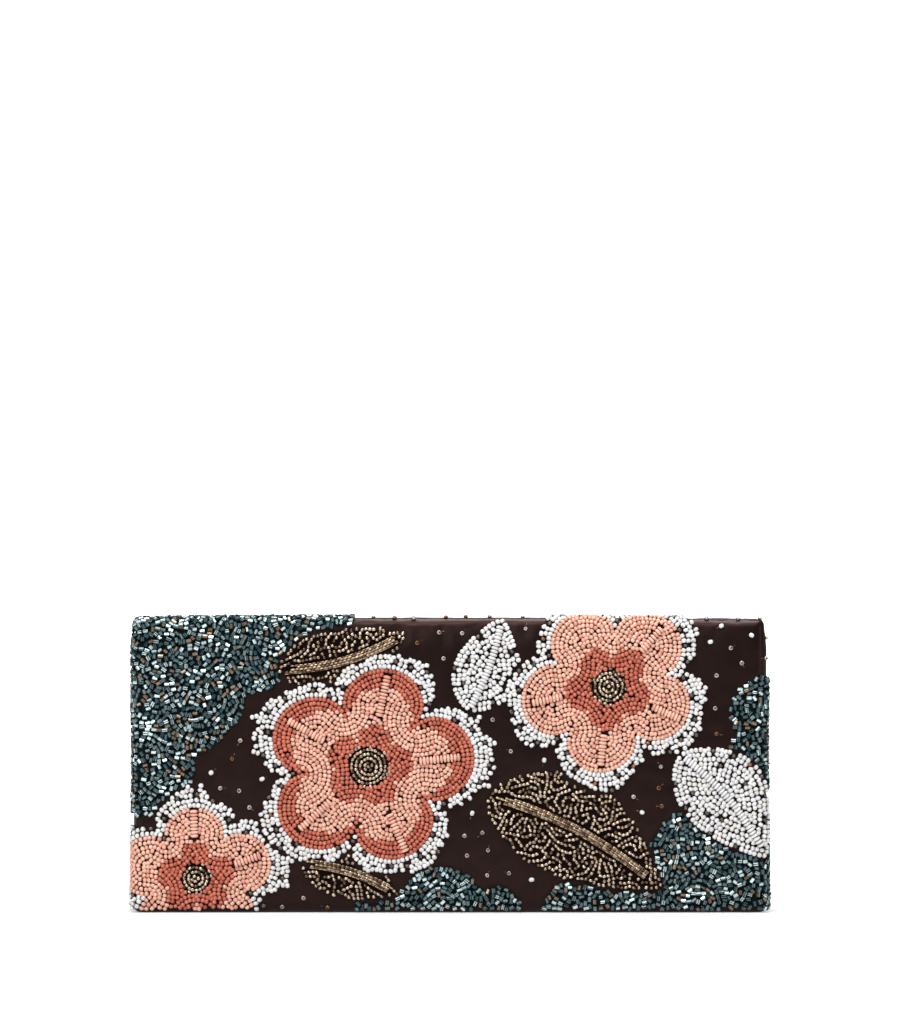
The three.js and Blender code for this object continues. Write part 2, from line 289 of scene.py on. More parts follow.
def petal_cords(flower):
    """The midline of each petal that lies wholly on the face."""
    lines = []
    for petal in range(PETALS):
        angle = math.radians(flower["turn"] + petal * 360 / PETALS)
        far = np.linspace(*flower["cord"], PETAL_CORD_STEPS)[:, None] * flower["reach"]
        line = np.array([flower["u"], flower["v"]]) + far * np.array([math.cos(angle), math.sin(angle)])
        if np.all(np.abs(line[:, 0]) < FACE_X) and np.all(np.abs(line[:, 1] - MIDDLE) < FACE_Z):
            lines.append(line)
    return lines


def leaf_cord(leaf):
    along = np.linspace(*LEAF_CORD, LEAF_CORD_STEPS)
    return leaf_points(leaf, along, 0 * along)


# Zones: a bead, the way it is sewn, the grid spots it may take and the depth that its rows follow.
# Beads keep an inset from the edge of their motif, and half a seam from the next zone.
HALO_INSET, LEAF_INSET, CLOUD_INSET = 0.8, 0.7, 0.8
HALF_SEAM = 0.5
HEART_SPREAD = 0.6
HALO_MARGIN, FLOWER_MARGIN, LEAF_MARGIN = 3.0, 10.0, 6.0
zones = []
taken = np.zeros(SHEET_U.shape, bool)


def add_zone(bead, way, spots, depth):
    zones.append({"bead": bead, "way": way, "spots": spots & sewable & ~taken, "depth": depth})


for flower in FLOWERS:
    depths = [depth_inside(zone_outline(flower, k), FLOWER_MARGIN) for k in range(len(flower["zones"]))]
    halo = depth_inside(halo_outline(flower), HALO_MARGIN)
    petals, heart = depths[0], depths[-1]
    add_zone("white", "border", (halo > HALO_INSET) & (petals < -HALF_SEAM), -petals)
    add_zone("peach", "petals", (petals > HALF_SEAM) & (heart < -HALF_SEAM), petals)
    zones[-1]["colours"] = [(bead, depth) for (bead, _), depth in zip(flower["zones"][:-1], depths)]
    add_zone(flower["zones"][-1][0], "heart", heart > -HEART_SPREAD, heart + HEART_SPREAD)
    taken |= halo > -MOTIF_GAP

for leaf in LEAVES:
    depth = depth_inside(leaf_outline(leaf), LEAF_MARGIN)
    way = "meander" if leaf["bead"] == "bronze" else "border"
    add_zone(leaf["bead"], way, depth > LEAF_INSET, depth)
    taken |= depth > -MOTIF_GAP

for discs in CLOUDS:
    depth = np.max([radius - np.hypot(SHEET_U - u, SHEET_V - v) for u, v, radius in discs], axis=0)
    add_zone("teal", "runs", depth > CLOUD_INSET, depth)

beaded = np.any([zone["spots"] for zone in zones], axis=0)


# Sewing: a bed of beads already placed, and ways to place more
class Bed:
    """Beads already sewn, in cells, so that a new one is tested only against those nearby."""

    CELL = 3.0

    def __init__(self):
        self.cells = {}
        self.count = 0
        self.widest = 0.0

    def clear(self, u, v, room, skip=()):
        far = max(room, self.widest)
        columns = range(int((u - far) // self.CELL), int((u + far) // self.CELL) + 1)
        rows = range(int((v - far) // self.CELL), int((v + far) // self.CELL) + 1)
        for i in columns:
            for j in rows:
                for other_u, other_v, least, key in self.cells.get((i, j), ()):
                    span = max(room, least)
                    if (other_u - u) ** 2 + (other_v - v) ** 2 < span * span and key not in skip:
                        return False
        return True

    def add(self, u, v, least=0.0):
        self.count += 1
        self.widest = max(self.widest, least)
        cell = (int(u // self.CELL), int(v // self.CELL))
        self.cells.setdefault(cell, []).append((u, v, least, self.count))
        return self.count


bed = Bed()
stock = {bead: [] for bead in BEADS}

# Spread of bead sizes, and how high a bead's axis lies as a share of its radius
RADIUS_SPREAD, LENGTH_SPREAD, SEAT = 0.035, 0.05, 0.96


def sew(bead, u, v, heading, lift=None, tilt=0.0, size=1.0, stretch=1.0, tone=None):
    """Puts one bead on the cloth, its hole along the heading, and notes it in the bed."""
    sizes = BEADS[bead]
    radius = sizes["radius"] * size * (1 + RADIUS_SPREAD * dice.standard_normal())
    half = sizes["half"] * size * stretch * (1 + LENGTH_SPREAD * dice.standard_normal())
    height = radius * SEAT if lift is None else lift
    tone = dice.random() if tone is None else tone
    stock[bead].append((u, v, height, heading, tilt, radius, half, tone, dice.random()))
    bed.add(u, v)


def between(field, i, j, a, b):
    """A grid's value at shares a and b of the way from the grid spot i, j to the next ones."""
    low = field[i, j] * (1 - a) + field[i + 1, j] * a
    high = field[i, j + 1] * (1 - a) + field[i + 1, j + 1] * a
    return low * (1 - b) + high * b


def sample(field, u, v):
    a, b = (u - U_LOW) / GRID, (v - V_LOW) / GRID
    i, j = int(a), int(b)
    return between(field, i, j, a - i, b - j)


def allowed(zone, u, v):
    if not (U_LOW + 1 < u < U_HIGH - 1 and V_LOW + 1 < v < V_HIGH - 1):
        return False
    return zone["spots"][int((u - U_LOW) / GRID + 0.5), int((v - V_LOW) / GRID + 0.5)]


def slope(field, u, v):
    across = sample(field, u + GRID, v) - sample(field, u - GRID, v)
    upward = sample(field, u, v + GRID) - sample(field, u, v - GRID)
    return across / (2 * GRID), upward / (2 * GRID)


def shuffled(spots):
    """Grid spots in a random order, each moved a little off the grid."""
    places = np.argwhere(spots)
    dice.shuffle(places)
    nudge = dice.uniform(-GRID / 2, GRID / 2, places.shape)
    return np.array([U_LOW, V_LOW]) + places * GRID + nudge


# Rows: depth of the first one, how near a grid spot lies to a row that it may start, the least slope
# of the depth that a row can follow, and the spread of place, heading and tilt, first in a tidy row
# and then what a loose one adds
FIRST_ROW = 0.92
FIRST_ROW_STRAY = 0.2
ROW_BAND = 0.6 * GRID
LEAST_SLOPE = 0.3
ROW_SHIFT, ROW_SWING, ROW_LEAN = (0.05, 0.14), (0.08, 0.4), (0.08, 0.16)
STEP_SPREAD = 0.03
FILL_TILT = 0.15


def on_level(zone, level, u, v):
    """The spot next to (u, v) at the level's depth, with the heading of the row there."""
    across = upward = 0.0
    for _ in range(2):
        if not allowed(zone, u, v):
            return None
        across, upward = slope(zone["depth"], u, v)
        steep = across * across + upward * upward
        if steep < LEAST_SLOPE:
            return None
        miss = level - sample(zone["depth"], u, v)
        u, v = u + miss * across / steep, v + miss * upward / steep
    return (u, v, math.atan2(across, -upward)) if allowed(zone, u, v) else None


def next_on_level(zone, level, spot, distance):
    u, v, heading = spot
    return on_level(zone, level, u + distance * math.cos(heading), v + distance * math.sin(heading))


def colour_at(zone, u, v):
    """The bead of a spot: the innermost of a flower's colours that reaches it."""
    bead = zone["bead"]
    for colour, depth in zone.get("colours", ()):
        if sample(depth, u, v) > 0:
            bead = colour
    return bead


def astray(spread, stray, count=None):
    tidy, extra = spread
    return dice.normal(0, tidy + extra * stray, count)


def sew_rows(zone, loose, first=FIRST_ROW):
    """Rows that follow the zone's outline, from the outside in. Loose rows stray and tilt more, the
    first row less than the others."""
    sizes = BEADS[zone["bead"]]
    if not zone["spots"].any():
        return
    for level in np.arange(first, zone["depth"][zone["spots"]].max(), sizes["lane"]):
        stray = loose if level > first else FIRST_ROW_STRAY * loose
        near = zone["spots"] & (np.abs(zone["depth"] - level) < ROW_BAND)
        for u, v in shuffled(near):
            seed = on_level(zone, level, u, v)
            if seed is None or not bed.clear(seed[0], seed[1], sizes["room"]):
                continue
            for step in (sizes["step"], -sizes["step"]):
                spot = seed if step > 0 else next_on_level(zone, level, seed, step)
                while spot is not None and bed.clear(spot[0], spot[1], sizes["room"]):
                    shift = astray(ROW_SHIFT, stray, 2)
                    swing = astray(ROW_SWING, stray)
                    lean = astray(ROW_LEAN, stray)
                    bead = colour_at(zone, spot[0], spot[1])
                    sew(bead, spot[0] + shift[0], spot[1] + shift[1], spot[2] + swing, tilt=lean)
                    spot = next_on_level(zone, level, spot, step * (1 + dice.normal(0, STEP_SPREAD)))


def fill(zone, room_share):
    """Single beads in the gaps that rows leave, with a share of the usual room."""
    room = BEADS[zone["bead"]]["room"] * room_share
    for u, v in shuffled(zone["spots"]):
        if bed.clear(u, v, room):
            bead = colour_at(zone, u, v)
            sew(bead, u, v, dice.uniform(0, math.pi), tilt=dice.normal(0, FILL_TILT))


# Headings that drift over the cloth: wavelength and strength, for bronze lines and for teal runs
MEANDER_DRIFT = (15, 0.8)
RUN_DRIFT = (20, 0.7)
DRIFT_WAVES = 6
DRIFT_RANGE = (0.7, 1.5)


def make_drift(wavelength, strength):
    """A smooth field of headings over the cloth."""
    turns = dice.uniform(0, math.tau, DRIFT_WAVES)
    phases = dice.uniform(0, math.tau, DRIFT_WAVES)
    waves = math.tau / (wavelength * dice.uniform(*DRIFT_RANGE, DRIFT_WAVES))
    columns = [(w * math.cos(t), w * math.sin(t), p) for w, t, p in zip(waves, turns, phases)]

    def drift(u, v):
        return strength * sum(math.sin(a * u + b * v + p) for a, b, p in columns)

    return drift


# Bronze lines: rounds of sewing, the last ones free to start anywhere, most beads each way, least
# beads at first, room between lines and how near a new one starts as shares of the lane
MEANDER_ROUNDS = 10
FREE_ROUNDS = 2
MEANDER_LONGEST = 4
MEANDER_SHORTEST = 6
MEANDER_ROOM = 0.88
MEANDER_BESIDE = 1.2
MEANDER_SPREAD = 0.12


def meander_line(zone, drift, u, v):
    """Spots of one line through (u, v) that follows the drift both ways until something is near."""
    sizes = BEADS[zone["bead"]]
    line = [(u, v)]
    for way in (0.0, math.pi):
        u, v = line[0]
        for _ in range(MEANDER_LONGEST):
            heading = drift(u, v) + way
            u += sizes["step"] * math.cos(heading)
            v += sizes["step"] * math.sin(heading)
            if not allowed(zone, u, v) or not bed.clear(u, v, MEANDER_ROOM * sizes["lane"]):
                break
            line.append((u, v))
    return line


def sew_meander(zone):
    """Short lines of beads that wander over the zone and keep a dark lane between them. Each new line
    starts close beside one already there, and the last rounds fill in shorter ones."""
    drift = make_drift(*MEANDER_DRIFT)
    lane = BEADS[zone["bead"]]["lane"]
    for number in range(MEANDER_ROUNDS):
        beside = 0 < number < MEANDER_ROUNDS - FREE_ROUNDS
        shortest = max(1, MEANDER_SHORTEST - MEANDER_SHORTEST * number // MEANDER_ROUNDS)
        for u, v in shuffled(zone["spots"]):
            if not bed.clear(u, v, lane) or (beside and bed.clear(u, v, MEANDER_BESIDE * lane)):
                continue
            line = meander_line(zone, drift, u, v)
            if len(line) < shortest:
                continue
            for a, b in line:
                heading = drift(a, b) + dice.normal(0, MEANDER_SPREAD)
                sew(zone["bead"], a, b, heading, tilt=dice.normal(0, MEANDER_SPREAD))
            if number == 0:
                break


# Teal runs: spread of sizes, seat, chance of a painted highlight and what lying across the bag adds to
# it, tones with that painted highlight and without, rounds, lengths, and the room of the beads that fill
# gaps as a share
TUBE_RADIUS_SPREAD, TUBE_LENGTH_SPREAD, TUBE_SEAT = 0.04, 0.08, 0.92
HIGHLIGHT_CHANCE, HIGHLIGHT_ACROSS = 0.15, 0.38
HIGHLIGHT_TONES, DARK_TONES = (0.55, 1.0), (0.0, 0.2)
RUN_ROUNDS = 8
RUN_LENGTHS = (2, 8)
RUN_CROSSWAYS = 0.3
RUN_BESIDE = 1.25
RUN_SWING, RUN_TILT = 0.06, 0.08
RUN_FILL = 0.88


def tube_ends(u, v, heading, half):
    across, upward = half / 2 * math.cos(heading), half / 2 * math.sin(heading)
    return (u + across, v + upward), (u - across, v - upward)


def tube_clear(u, v, heading, half, room, skip=()):
    return all(bed.clear(a, b, room, skip) for a, b in tube_ends(u, v, heading, half))


def sew_tube(bead, u, v, heading, tilt):
    """A long bead, noted in the bed by two spots. Those that lie across the bag more often get a bright
    tone, a painted highlight as if lit from above.
    """
    sizes = BEADS[bead]
    radius = sizes["radius"] * (1 + TUBE_RADIUS_SPREAD * dice.standard_normal())
    half = sizes["half"] * (1 + TUBE_LENGTH_SPREAD * dice.standard_normal())
    # Painted highlight: beads that lie across the bag more often take a bright tone, as if lit from above
    highlighted = dice.random() < HIGHLIGHT_CHANCE + HIGHLIGHT_ACROSS * math.cos(heading) ** 2
    tone = dice.uniform(*(HIGHLIGHT_TONES if highlighted else DARK_TONES))
    stock[bead].append((u, v, radius * TUBE_SEAT, heading, tilt, radius, half, tone, dice.random()))
    return tuple(bed.add(a, b) for a, b in tube_ends(u, v, heading, sizes["half"]))


def sew_run(zone, drift, u, v):
    """One curved run of long beads laid end to end, from a spot until something is near."""
    sizes = BEADS[zone["bead"]]
    turn = math.pi / 2 if dice.random() < RUN_CROSSWAYS else 0.0
    heading = drift(u, v) + turn
    own = ()
    for _ in range(int(dice.integers(*RUN_LENGTHS))):
        if not allowed(zone, u, v) or not tube_clear(u, v, heading, sizes["half"], sizes["room"], own):
            break
        swung = heading + dice.normal(0, RUN_SWING)
        own = sew_tube(zone["bead"], u, v, swung, dice.normal(0, RUN_TILT))
        u += sizes["step"] * math.cos(heading)
        v += sizes["step"] * math.sin(heading)
        heading = drift(u, v) + turn + dice.normal(0, RUN_SWING)


def sew_runs(zone):
    """Short runs of long beads, most started close beside one already there, then single ones."""
    drift = make_drift(*RUN_DRIFT)
    sizes = BEADS[zone["bead"]]
    for number in range(RUN_ROUNDS):
        beside = number < RUN_ROUNDS - FREE_ROUNDS
        for u, v in shuffled(zone["spots"]):
            near = not bed.clear(u, v, RUN_BESIDE * sizes["lane"])
            if number == 0 or near or not beside:
                sew_run(zone, drift, u, v)
            if number == 0:
                break
    for u, v in shuffled(zone["spots"]):
        heading = drift(u, v) + dice.uniform(0, math.pi)
        if tube_clear(u, v, heading, sizes["half"], RUN_FILL * sizes["room"]):
            sew_tube(zone["bead"], u, v, heading, dice.normal(0, FILL_TILT))


# Raised cords: size, lift and room of their beads. Strands: sideways place and lift of each, the
# spread of their headings, how many spots of the line the start of one may lag, and the pace at which
# a bundle is noted in the bed.
CORD_RADIUS = 1.85
CORD_HALF = 0.76
CORD_LIFT = 1.8
CORD_ROOM = 2.05
STRANDS = [(-1.6, 0.9), (-0.95, 1.7), (0.0, 2.2), (0.95, 1.7), (1.6, 0.9)]
STRAND_SWING = 0.02
STRAND_LAG = 3
BUNDLE_PACE = 0.8


def walk(line, pace):
    """Spots at an even pace along a line, with the heading at each."""
    steps = np.diff(line, axis=0)
    run = np.concatenate([[0], np.cumsum(np.hypot(steps[:, 0], steps[:, 1]))])
    stops = np.arange(pace / 2, run[-1], pace)
    u, v = np.interp(stops, run, line[:, 0]), np.interp(stops, run, line[:, 1])
    turns = np.unwrap(np.arctan2(steps[:, 1], steps[:, 0]))
    heading = np.interp(stops, (run[1:] + run[:-1]) / 2, turns)
    return zip(u, v, heading)


def sew_cord(bead, line):
    """A raised cord: wide flat beads threaded close together."""
    size = CORD_RADIUS / BEADS[bead]["radius"]
    stretch = CORD_HALF / (BEADS[bead]["half"] * size)
    for u, v, heading in walk(line, 2 * CORD_HALF):
        sew(bead, u, v, heading, CORD_LIFT, size=size, stretch=stretch)
        bed.add(u, v, CORD_ROOM)


def sew_strands(line):
    """A raised bundle of long bright strands side by side."""
    for offset, lift in STRANDS:
        lag = int(dice.integers(0, STRAND_LAG))
        for u, v, heading in walk(line[lag:], BEADS["strand"]["step"]):
            beside_u, beside_v = u - offset * math.sin(heading), v + offset * math.cos(heading)
            sew("strand", beside_u, beside_v, heading + dice.normal(0, STRAND_SWING), lift)
    for u, v, _ in walk(line, BUNDLE_PACE):
        bed.add(u, v, CORD_ROOM)


for flower in FLOWERS:
    for line in petal_cords(flower):
        sew_cord("peach", line)
for leaf in LEAVES:
    if leaf["bead"] == "bronze":
        sew_strands(leaf_cord(leaf))
    else:
        sew_cord("white", leaf_cord(leaf))

# How loose the rows of each kind of zone are, where those of a heart start, and the dark tube beads
# of the white borders: distance from other beads, chance, lift, size, stretch and own room
PETAL_STRAY, HEART_STRAY, BORDER_STRAY = 0.25, 0.3, 1.0
HEART_FIRST_ROW = 0.2
CLOSE_FILL = 0.9
TUBE_APART, TUBE_CHANCE = 7.0, 0.6
TUBE_LIFT, TUBE_SIZE, TUBE_STRETCH, TUBE_ROOM = 0.9, 0.9, 1.6, 1.95


def sew_petals(zone):
    sew_rows(zone, PETAL_STRAY)
    fill(zone, CLOSE_FILL)


def sew_heart(zone):
    sew_rows(zone, HEART_STRAY, HEART_FIRST_ROW)
    fill(zone, 1.0)


def sew_border(zone):
    """Loose rows of white beads with a dark tube bead here and there."""
    for u, v in shuffled(zone["spots"]):
        if bed.clear(u, v, TUBE_APART) and dice.random() < TUBE_CHANCE:
            turn = dice.uniform(0, math.pi)
            sew("lined", u, v, turn, TUBE_LIFT, size=TUBE_SIZE, stretch=TUBE_STRETCH, tone=0.0)
            bed.add(u, v, TUBE_ROOM)
    sew_rows(zone, BORDER_STRAY)
    fill(zone, CLOSE_FILL)


WAYS = {"petals": sew_petals, "heart": sew_heart, "border": sew_border, "meander": sew_meander,
        "runs": sew_runs}
for zone in zones:
    WAYS[zone["way"]](zone)

# Loose ends of white beads that stray from the borders on to the bare satin: distance between them,
# and the spread of their place, lean, start, count and tilt
FRINGE_PITCH = 4.2
FRINGE_JITTER = 0.3
FRINGE_LEAN = 1.0
FRINGE_START = (-0.6, 0.4)
FRINGE_COUNT = (1, 3)
FRINGE_SWING = 0.25
open_satin = {"spots": sewable & ~beaded}


def sew_fringe(flower):
    white = BEADS["white"]
    around = math.tau * (flower["reach"] + HALO)
    for share in np.arange(0, 1, FRINGE_PITCH / around):
        jitter = dice.uniform(-FRINGE_JITTER, FRINGE_JITTER)
        angle = math.tau * (share + jitter * FRINGE_PITCH / around)
        lean = angle + dice.normal(0, FRINGE_LEAN)
        radius = halo_radius(flower, angle) + dice.uniform(*FRINGE_START)
        u = flower["u"] + radius * math.cos(angle)
        v = flower["v"] + radius * math.sin(angle)
        for _ in range(int(dice.integers(*FRINGE_COUNT))):
            if not allowed(open_satin, u, v) or not bed.clear(u, v, white["room"]):
                break
            sew("white", u, v, lean + dice.normal(0, FRINGE_SWING), tilt=dice.normal(0, FILL_TILT))
            u += white["step"] * math.cos(lean)
            v += white["step"] * math.sin(lean)


for flower in FLOWERS:
    sew_fringe(flower)

# Single beads on the bare satin: room to each other and to the beadwork, share of white ones and how
# far those may wrap round the edge, rings that stand on the satin, and the stitch beside a bead
SINGLE_ROOM = (7.5, 12.0)
SINGLE_TO_BEADWORK = (5.0, 8.0)
SINGLE_BLUR, SINGLE_BARE = 1.2, 0.02
SINGLE_WHITE, WHITE_WRAP = 0.42, 1.0
WHITE_SIZE, WHITE_STRETCH = 0.86, 1.42
RING_LIFT, RING_TILT, RING_SIZE, RING_TONES = 0.55, math.pi / 2 - 0.25, 1.02, (0.45, 1.0)
STITCH_CHANCE, STITCH_FROM, STITCH_LIFT = 0.7, 1.5, 0.06
singles = []


def far_from_singles(u, v):
    room = dice.uniform(*SINGLE_ROOM)
    return all(math.hypot(u - a, v - b) > room for a, b in singles)


def sew_single(u, v):
    """A white bead or a ring, most of them with a stitch beside it."""
    angle = dice.uniform(0, math.tau)
    if dice.random() < SINGLE_WHITE and past_face(u, v)[2] < WHITE_WRAP:
        sew("white", u, v, angle, size=WHITE_SIZE, stretch=WHITE_STRETCH)
    else:
        sew("lined", u, v, angle, RING_LIFT, RING_TILT, RING_SIZE, tone=dice.uniform(*RING_TONES))
    if dice.random() < STITCH_CHANCE:
        far = STITCH_FROM + dice.random()
        sew("thread", u + far * math.cos(angle), v + far * math.sin(angle), angle, STITCH_LIFT)


lonely = sewable & (blur(beaded.astype(float), SINGLE_BLUR) < SINGLE_BARE)
for u, v in shuffled(lonely):
    if bed.clear(u, v, dice.uniform(*SINGLE_TO_BEADWORK)) and far_from_singles(u, v):
        singles.append((u, v))
        sew_single(u, v)


# Meshes
def add_object(name, data):
    thing = bpy.data.objects.new(name, data)
    bpy.context.collection.objects.link(thing)
    return thing


def mesh_object(name, points, loops, starts, smooth, uv):
    """An object from arrays: points in millimetres, loops of point numbers and where each face starts."""
    mesh = bpy.data.meshes.new(name)
    mesh.vertices.add(len(points))
    mesh.vertices.foreach_set("co", (points * MM).astype(np.float32).ravel())
    mesh.loops.add(len(loops))
    mesh.loops.foreach_set("vertex_index", loops.astype(np.int32))
    mesh.polygons.add(len(starts))
    mesh.polygons.foreach_set("loop_start", starts.astype(np.int32))
    mesh.update(calc_edges=True)
    mesh.polygons.foreach_set("use_smooth", smooth)
    layer = mesh.uv_layers.new(name="OFBake")
    layer.data.foreach_set("uv", uv.astype(np.float32).ravel())
    mesh.update()
    return add_object(name, mesh)


def plain_object(name, points, faces):
    """An object from lists of points, in metres, and faces. Those with four corners are smooth."""
    mesh = bpy.data.meshes.new(name)
    mesh.from_pydata(points, [], faces)
    mesh.polygons.foreach_set("use_smooth", [len(face) == 4 for face in faces])
    mesh.update()
    return add_object(name, mesh)


def note(thing, name, values):
    """A number for each point of a mesh, for its material to read."""
    attribute = thing.data.attributes.new(name, "FLOAT", "POINT")
    attribute.data.foreach_set("value", values.astype(np.float32))


# Share of a bead's UV cell that each end takes, how near the edge a hole lies in it, and the gap
# round a cell
END_UV = 0.15
HOLE_UV = 0.03
CELL_GAP = 0.08


def bead_form(sides, profile, sink, end_painted_shade=0.0, smooth=True):
    """One bead along x: rings of a profile, closed at each end by a dimple for the hole, with painted shade
    on the end rings and in the hole.
    """
    angle = np.arange(sides) / sides * math.tau
    turned = np.stack([np.cos(angle), np.sin(angle)], axis=1)
    rings = [np.column_stack([np.full(sides, along), radius * turned]) for along, radius in profile]
    ends = np.array([[profile[0][0] + sink, 0, 0], [profile[-1][0] - sink, 0, 0]])
    points = np.concatenate(rings + [ends])
    first_end = len(points) - 2
    faces, uv = [], []
    last = len(profile) - 1
    for ring in range(last):
        low, high = (END_UV + (1 - 2 * END_UV) * k / last for k in (ring, ring + 1))
        here, there = ring * sides, (ring + 1) * sides
        for side in range(sides):
            ahead = (side + 1) % sides
            faces.append([here + side, here + ahead, there + ahead, there + side])
            left, right = side / sides, (side + 1) / sides
            uv += [(left, low), (right, low), (right, high), (left, high)]
    for side in range(sides):
        ahead = (side + 1) % sides
        left, right = side / sides, (side + 1) / sides
        faces.append([first_end, ahead, side])
        uv += [((left + right) / 2, HOLE_UV), (right, END_UV), (left, END_UV)]
        faces.append([first_end + 1, last * sides + side, last * sides + ahead])
        uv += [((left + right) / 2, 1 - HOLE_UV), (left, 1 - END_UV), (right, 1 - END_UV)]
    # Painted shade: a little on the end rings, and full at the middle of each hole
    painted_hole_shade = np.zeros(len(points))
    painted_hole_shade[:sides] = painted_hole_shade[first_end - sides:first_end] = end_painted_shade
    painted_hole_shade[first_end:] = 1
    return points, faces, np.array(uv), painted_hole_shade, np.full(len(faces), smooth)


ROUND_BEAD = bead_form(
    9, [(-1.0, 0.3), (-0.84, 0.68), (-0.38, 0.97), (0.38, 0.97), (0.84, 0.68), (1.0, 0.3)], 0.4, 0.5)
RING_BEAD = bead_form(
    10, [(-1.0, 0.6), (-0.84, 0.84), (-0.3, 1.0), (0.3, 1.0), (0.84, 0.84), (1.0, 0.6)], 0.95, 0.7)
CUT_TUBE = bead_form(7, [(-1.0, 0.5), (-0.97, 1.0), (0.97, 1.0), (1.0, 0.5)], 0.3, 0.3, smooth=False)
STRAND = bead_form(8, [(-1.0, 0.4), (-0.8, 0.9), (0.8, 0.9), (1.0, 0.4)], 0.1, 0.5)
STITCH = bead_form(5, [(-0.9, 0.5), (-0.4, 1.0), (0.4, 1.0), (0.9, 0.5)], -0.1)


def bead_object(name, bead, form):
    """All beads of a kind as one mesh, each with a UV cell of its own, and what its glass reads: the
    tone and oddness of a bead, the painted shade of its hole and ends, and how far across, high and far
    along it a point lies."""
    u, v, lift, heading, tilt, radius, half, tone, odd = np.array(stock[bead]).T
    points, faces, uv, painted_hole_shade, smooth = form
    count = len(u)
    along, up, off = bag_frame(u, v)
    flat = np.cos(heading)[:, None] * along + np.sin(heading)[:, None] * up
    axis = np.cos(tilt)[:, None] * flat + np.sin(tilt)[:, None] * off
    side = unit(np.cross(off, flat))
    top = np.cross(axis, side)
    spin = dice.uniform(0, math.tau, count)[:, None]
    side, top = np.cos(spin) * side + np.sin(spin) * top, np.cos(spin) * top - np.sin(spin) * side
    where = bag_point(u, v, lift + beaded_relief(u, v))[:, None, :]
    for column, reach in enumerate((axis * half[:, None], side * radius[:, None], top * radius[:, None])):
        where = where + reach[:, None, :] * points[None, :, column:column + 1]
    corner = np.concatenate(faces)
    loops = (np.arange(count)[:, None] * len(points) + corner[None, :]).ravel()
    sizes = np.array([len(face) for face in faces])
    offsets = np.concatenate([[0], np.cumsum(sizes)[:-1]])
    starts = (np.arange(count)[:, None] * len(corner) + offsets[None, :]).ravel()
    columns = math.ceil(math.sqrt(count))
    cell = np.stack([np.arange(count) % columns, np.arange(count) // columns], axis=1)
    layout = (cell[:, None, :] + CELL_GAP + (1 - 2 * CELL_GAP) * uv[None, :, :]) / columns
    thing = mesh_object(
        name, where.reshape(-1, 3), loops, starts, np.tile(smooth, count), layout.reshape(-1, 2))
    end, left, rise = points.T
    across = np.cos(spin) * left - np.sin(spin) * rise
    height = np.sin(spin) * left + np.cos(spin) * rise
    height = np.cos(tilt)[:, None] * height + (np.sin(tilt) * half / radius)[:, None] * end
    note(thing, "tone", np.repeat(tone, len(points)))
    note(thing, "odd", np.repeat(odd, len(points)))
    note(thing, "painted_hole_shade", np.tile(painted_hole_shade, count))
    note(thing, "across", across.ravel())
    note(thing, "height", height.ravel())
    note(thing, "along", np.tile(end, count))
    return thing


# Satin: spacing of its grid on the face, steps over the roll and shares of the wall, the dip along the
# seam, how far from the rim and down the base it is held, and the room of its faces in the UV map
SATIN_STEP = 2.0
ROLL_STEPS = 8
WALL_STEPS = np.array([0.2, 0.4, 0.6, 0.76, 0.86, 0.93, 0.97, 1.0])
SEAM_DIP, SEAM_DIP_RUN = 0.9, 1.1
RIM_OUT = 0.01
RIM_HOLD, BASE_HOLD = 1.6, 0.4
FACE_UV, OUTER_UV, INNER_UV = [0.98, 0.46], [0.01, 0.53], [0.01, 0.01]
LIP_UV, INNER_LIP_UV = (0.475, 0.497), (0.5, 0.522)

# Cloth: how much too large each shell's satin is, how far it may move, and how it behaves
FRONT_SLACK, BACK_SLACK = 0.002, 0.004
PUFF_CAP = 1.8
SETTLE_FRAMES = 20
CLOTH = {
    "quality": 5, "mass": 0.2, "tension_stiffness": 20, "compression_stiffness": 20, "shear_stiffness": 8,
    "bending_stiffness": 0.3, "use_pressure": True, "uniform_pressure_force": 4,
    "vertex_group_mass": "sewn",
}

# Relief: satin stands proud between beads and sinks under them; slow waves on the plain back
PROUD = 0.2
SUNK = 0.05
BARE_BLUR, RELIEF_BLUR = 0.8, 1.5
WAVE = 0.16


def rim_depth(x):
    """Half the gap between the lips of the mouth."""
    return SEAM_GAP / 2 + MOUTH / 2 * np.clip(1 - (x / MOUTH_END) ** 2, 0, 1)


def grid_lines(half):
    """Lines across one half of the layout and its mirror: over the face, the roll and the wall."""
    face = np.linspace(0, half, max(2, round(half / SATIN_STEP)) + 1)
    roll = half + OVER_ROLL * np.linspace(0, 1, ROLL_STEPS)[1:]
    wall = half + OVER_ROLL + WALL_RUN * WALL_STEPS
    side = np.concatenate([face, roll, wall])
    return np.concatenate([-side[:0:-1], side])


def let_settle(outer, quads, sewn, slack):
    """Runs the outer satin as cloth that is a little too large, held where it is sewn, and pushed out
    by its wadding. Gives the moved points, none further than PUFF_CAP from where it was."""
    sheet = plain_object("loose_satin", (outer * MM).tolist(), quads.tolist())
    mesh = sheet.data
    held = sheet.vertex_groups.new(name="sewn")
    held.add([int(k) for k in np.flatnonzero(sewn > 0.5)], 1.0, "REPLACE")
    cloth = sheet.modifiers.new("satin", "CLOTH")
    for label, value in CLOTH.items():
        setattr(cloth.settings, label, value)
    cloth.settings.shrink_min = -slack
    cloth.settings.effector_weights.gravity = 0
    cloth.point_cache.frame_start, cloth.point_cache.frame_end = 1, SETTLE_FRAMES
    scene = bpy.context.scene
    for number in range(1, SETTLE_FRAMES + 1):
        scene.frame_set(number)
    settled = sheet.evaluated_get(bpy.context.evaluated_depsgraph_get())
    places = np.empty(len(outer) * 3, np.float32)
    settled.data.vertices.foreach_get("co", places)
    moved = places.reshape(-1, 3) / MM - outer
    far = np.linalg.norm(moved, axis=1, keepdims=True)
    moved *= PUFF_CAP * np.tanh(far / PUFF_CAP) / np.maximum(far, NEARLY_ZERO)
    bpy.data.objects.remove(sheet)
    bpy.data.meshes.remove(mesh)
    scene.frame_set(1)
    return outer + moved


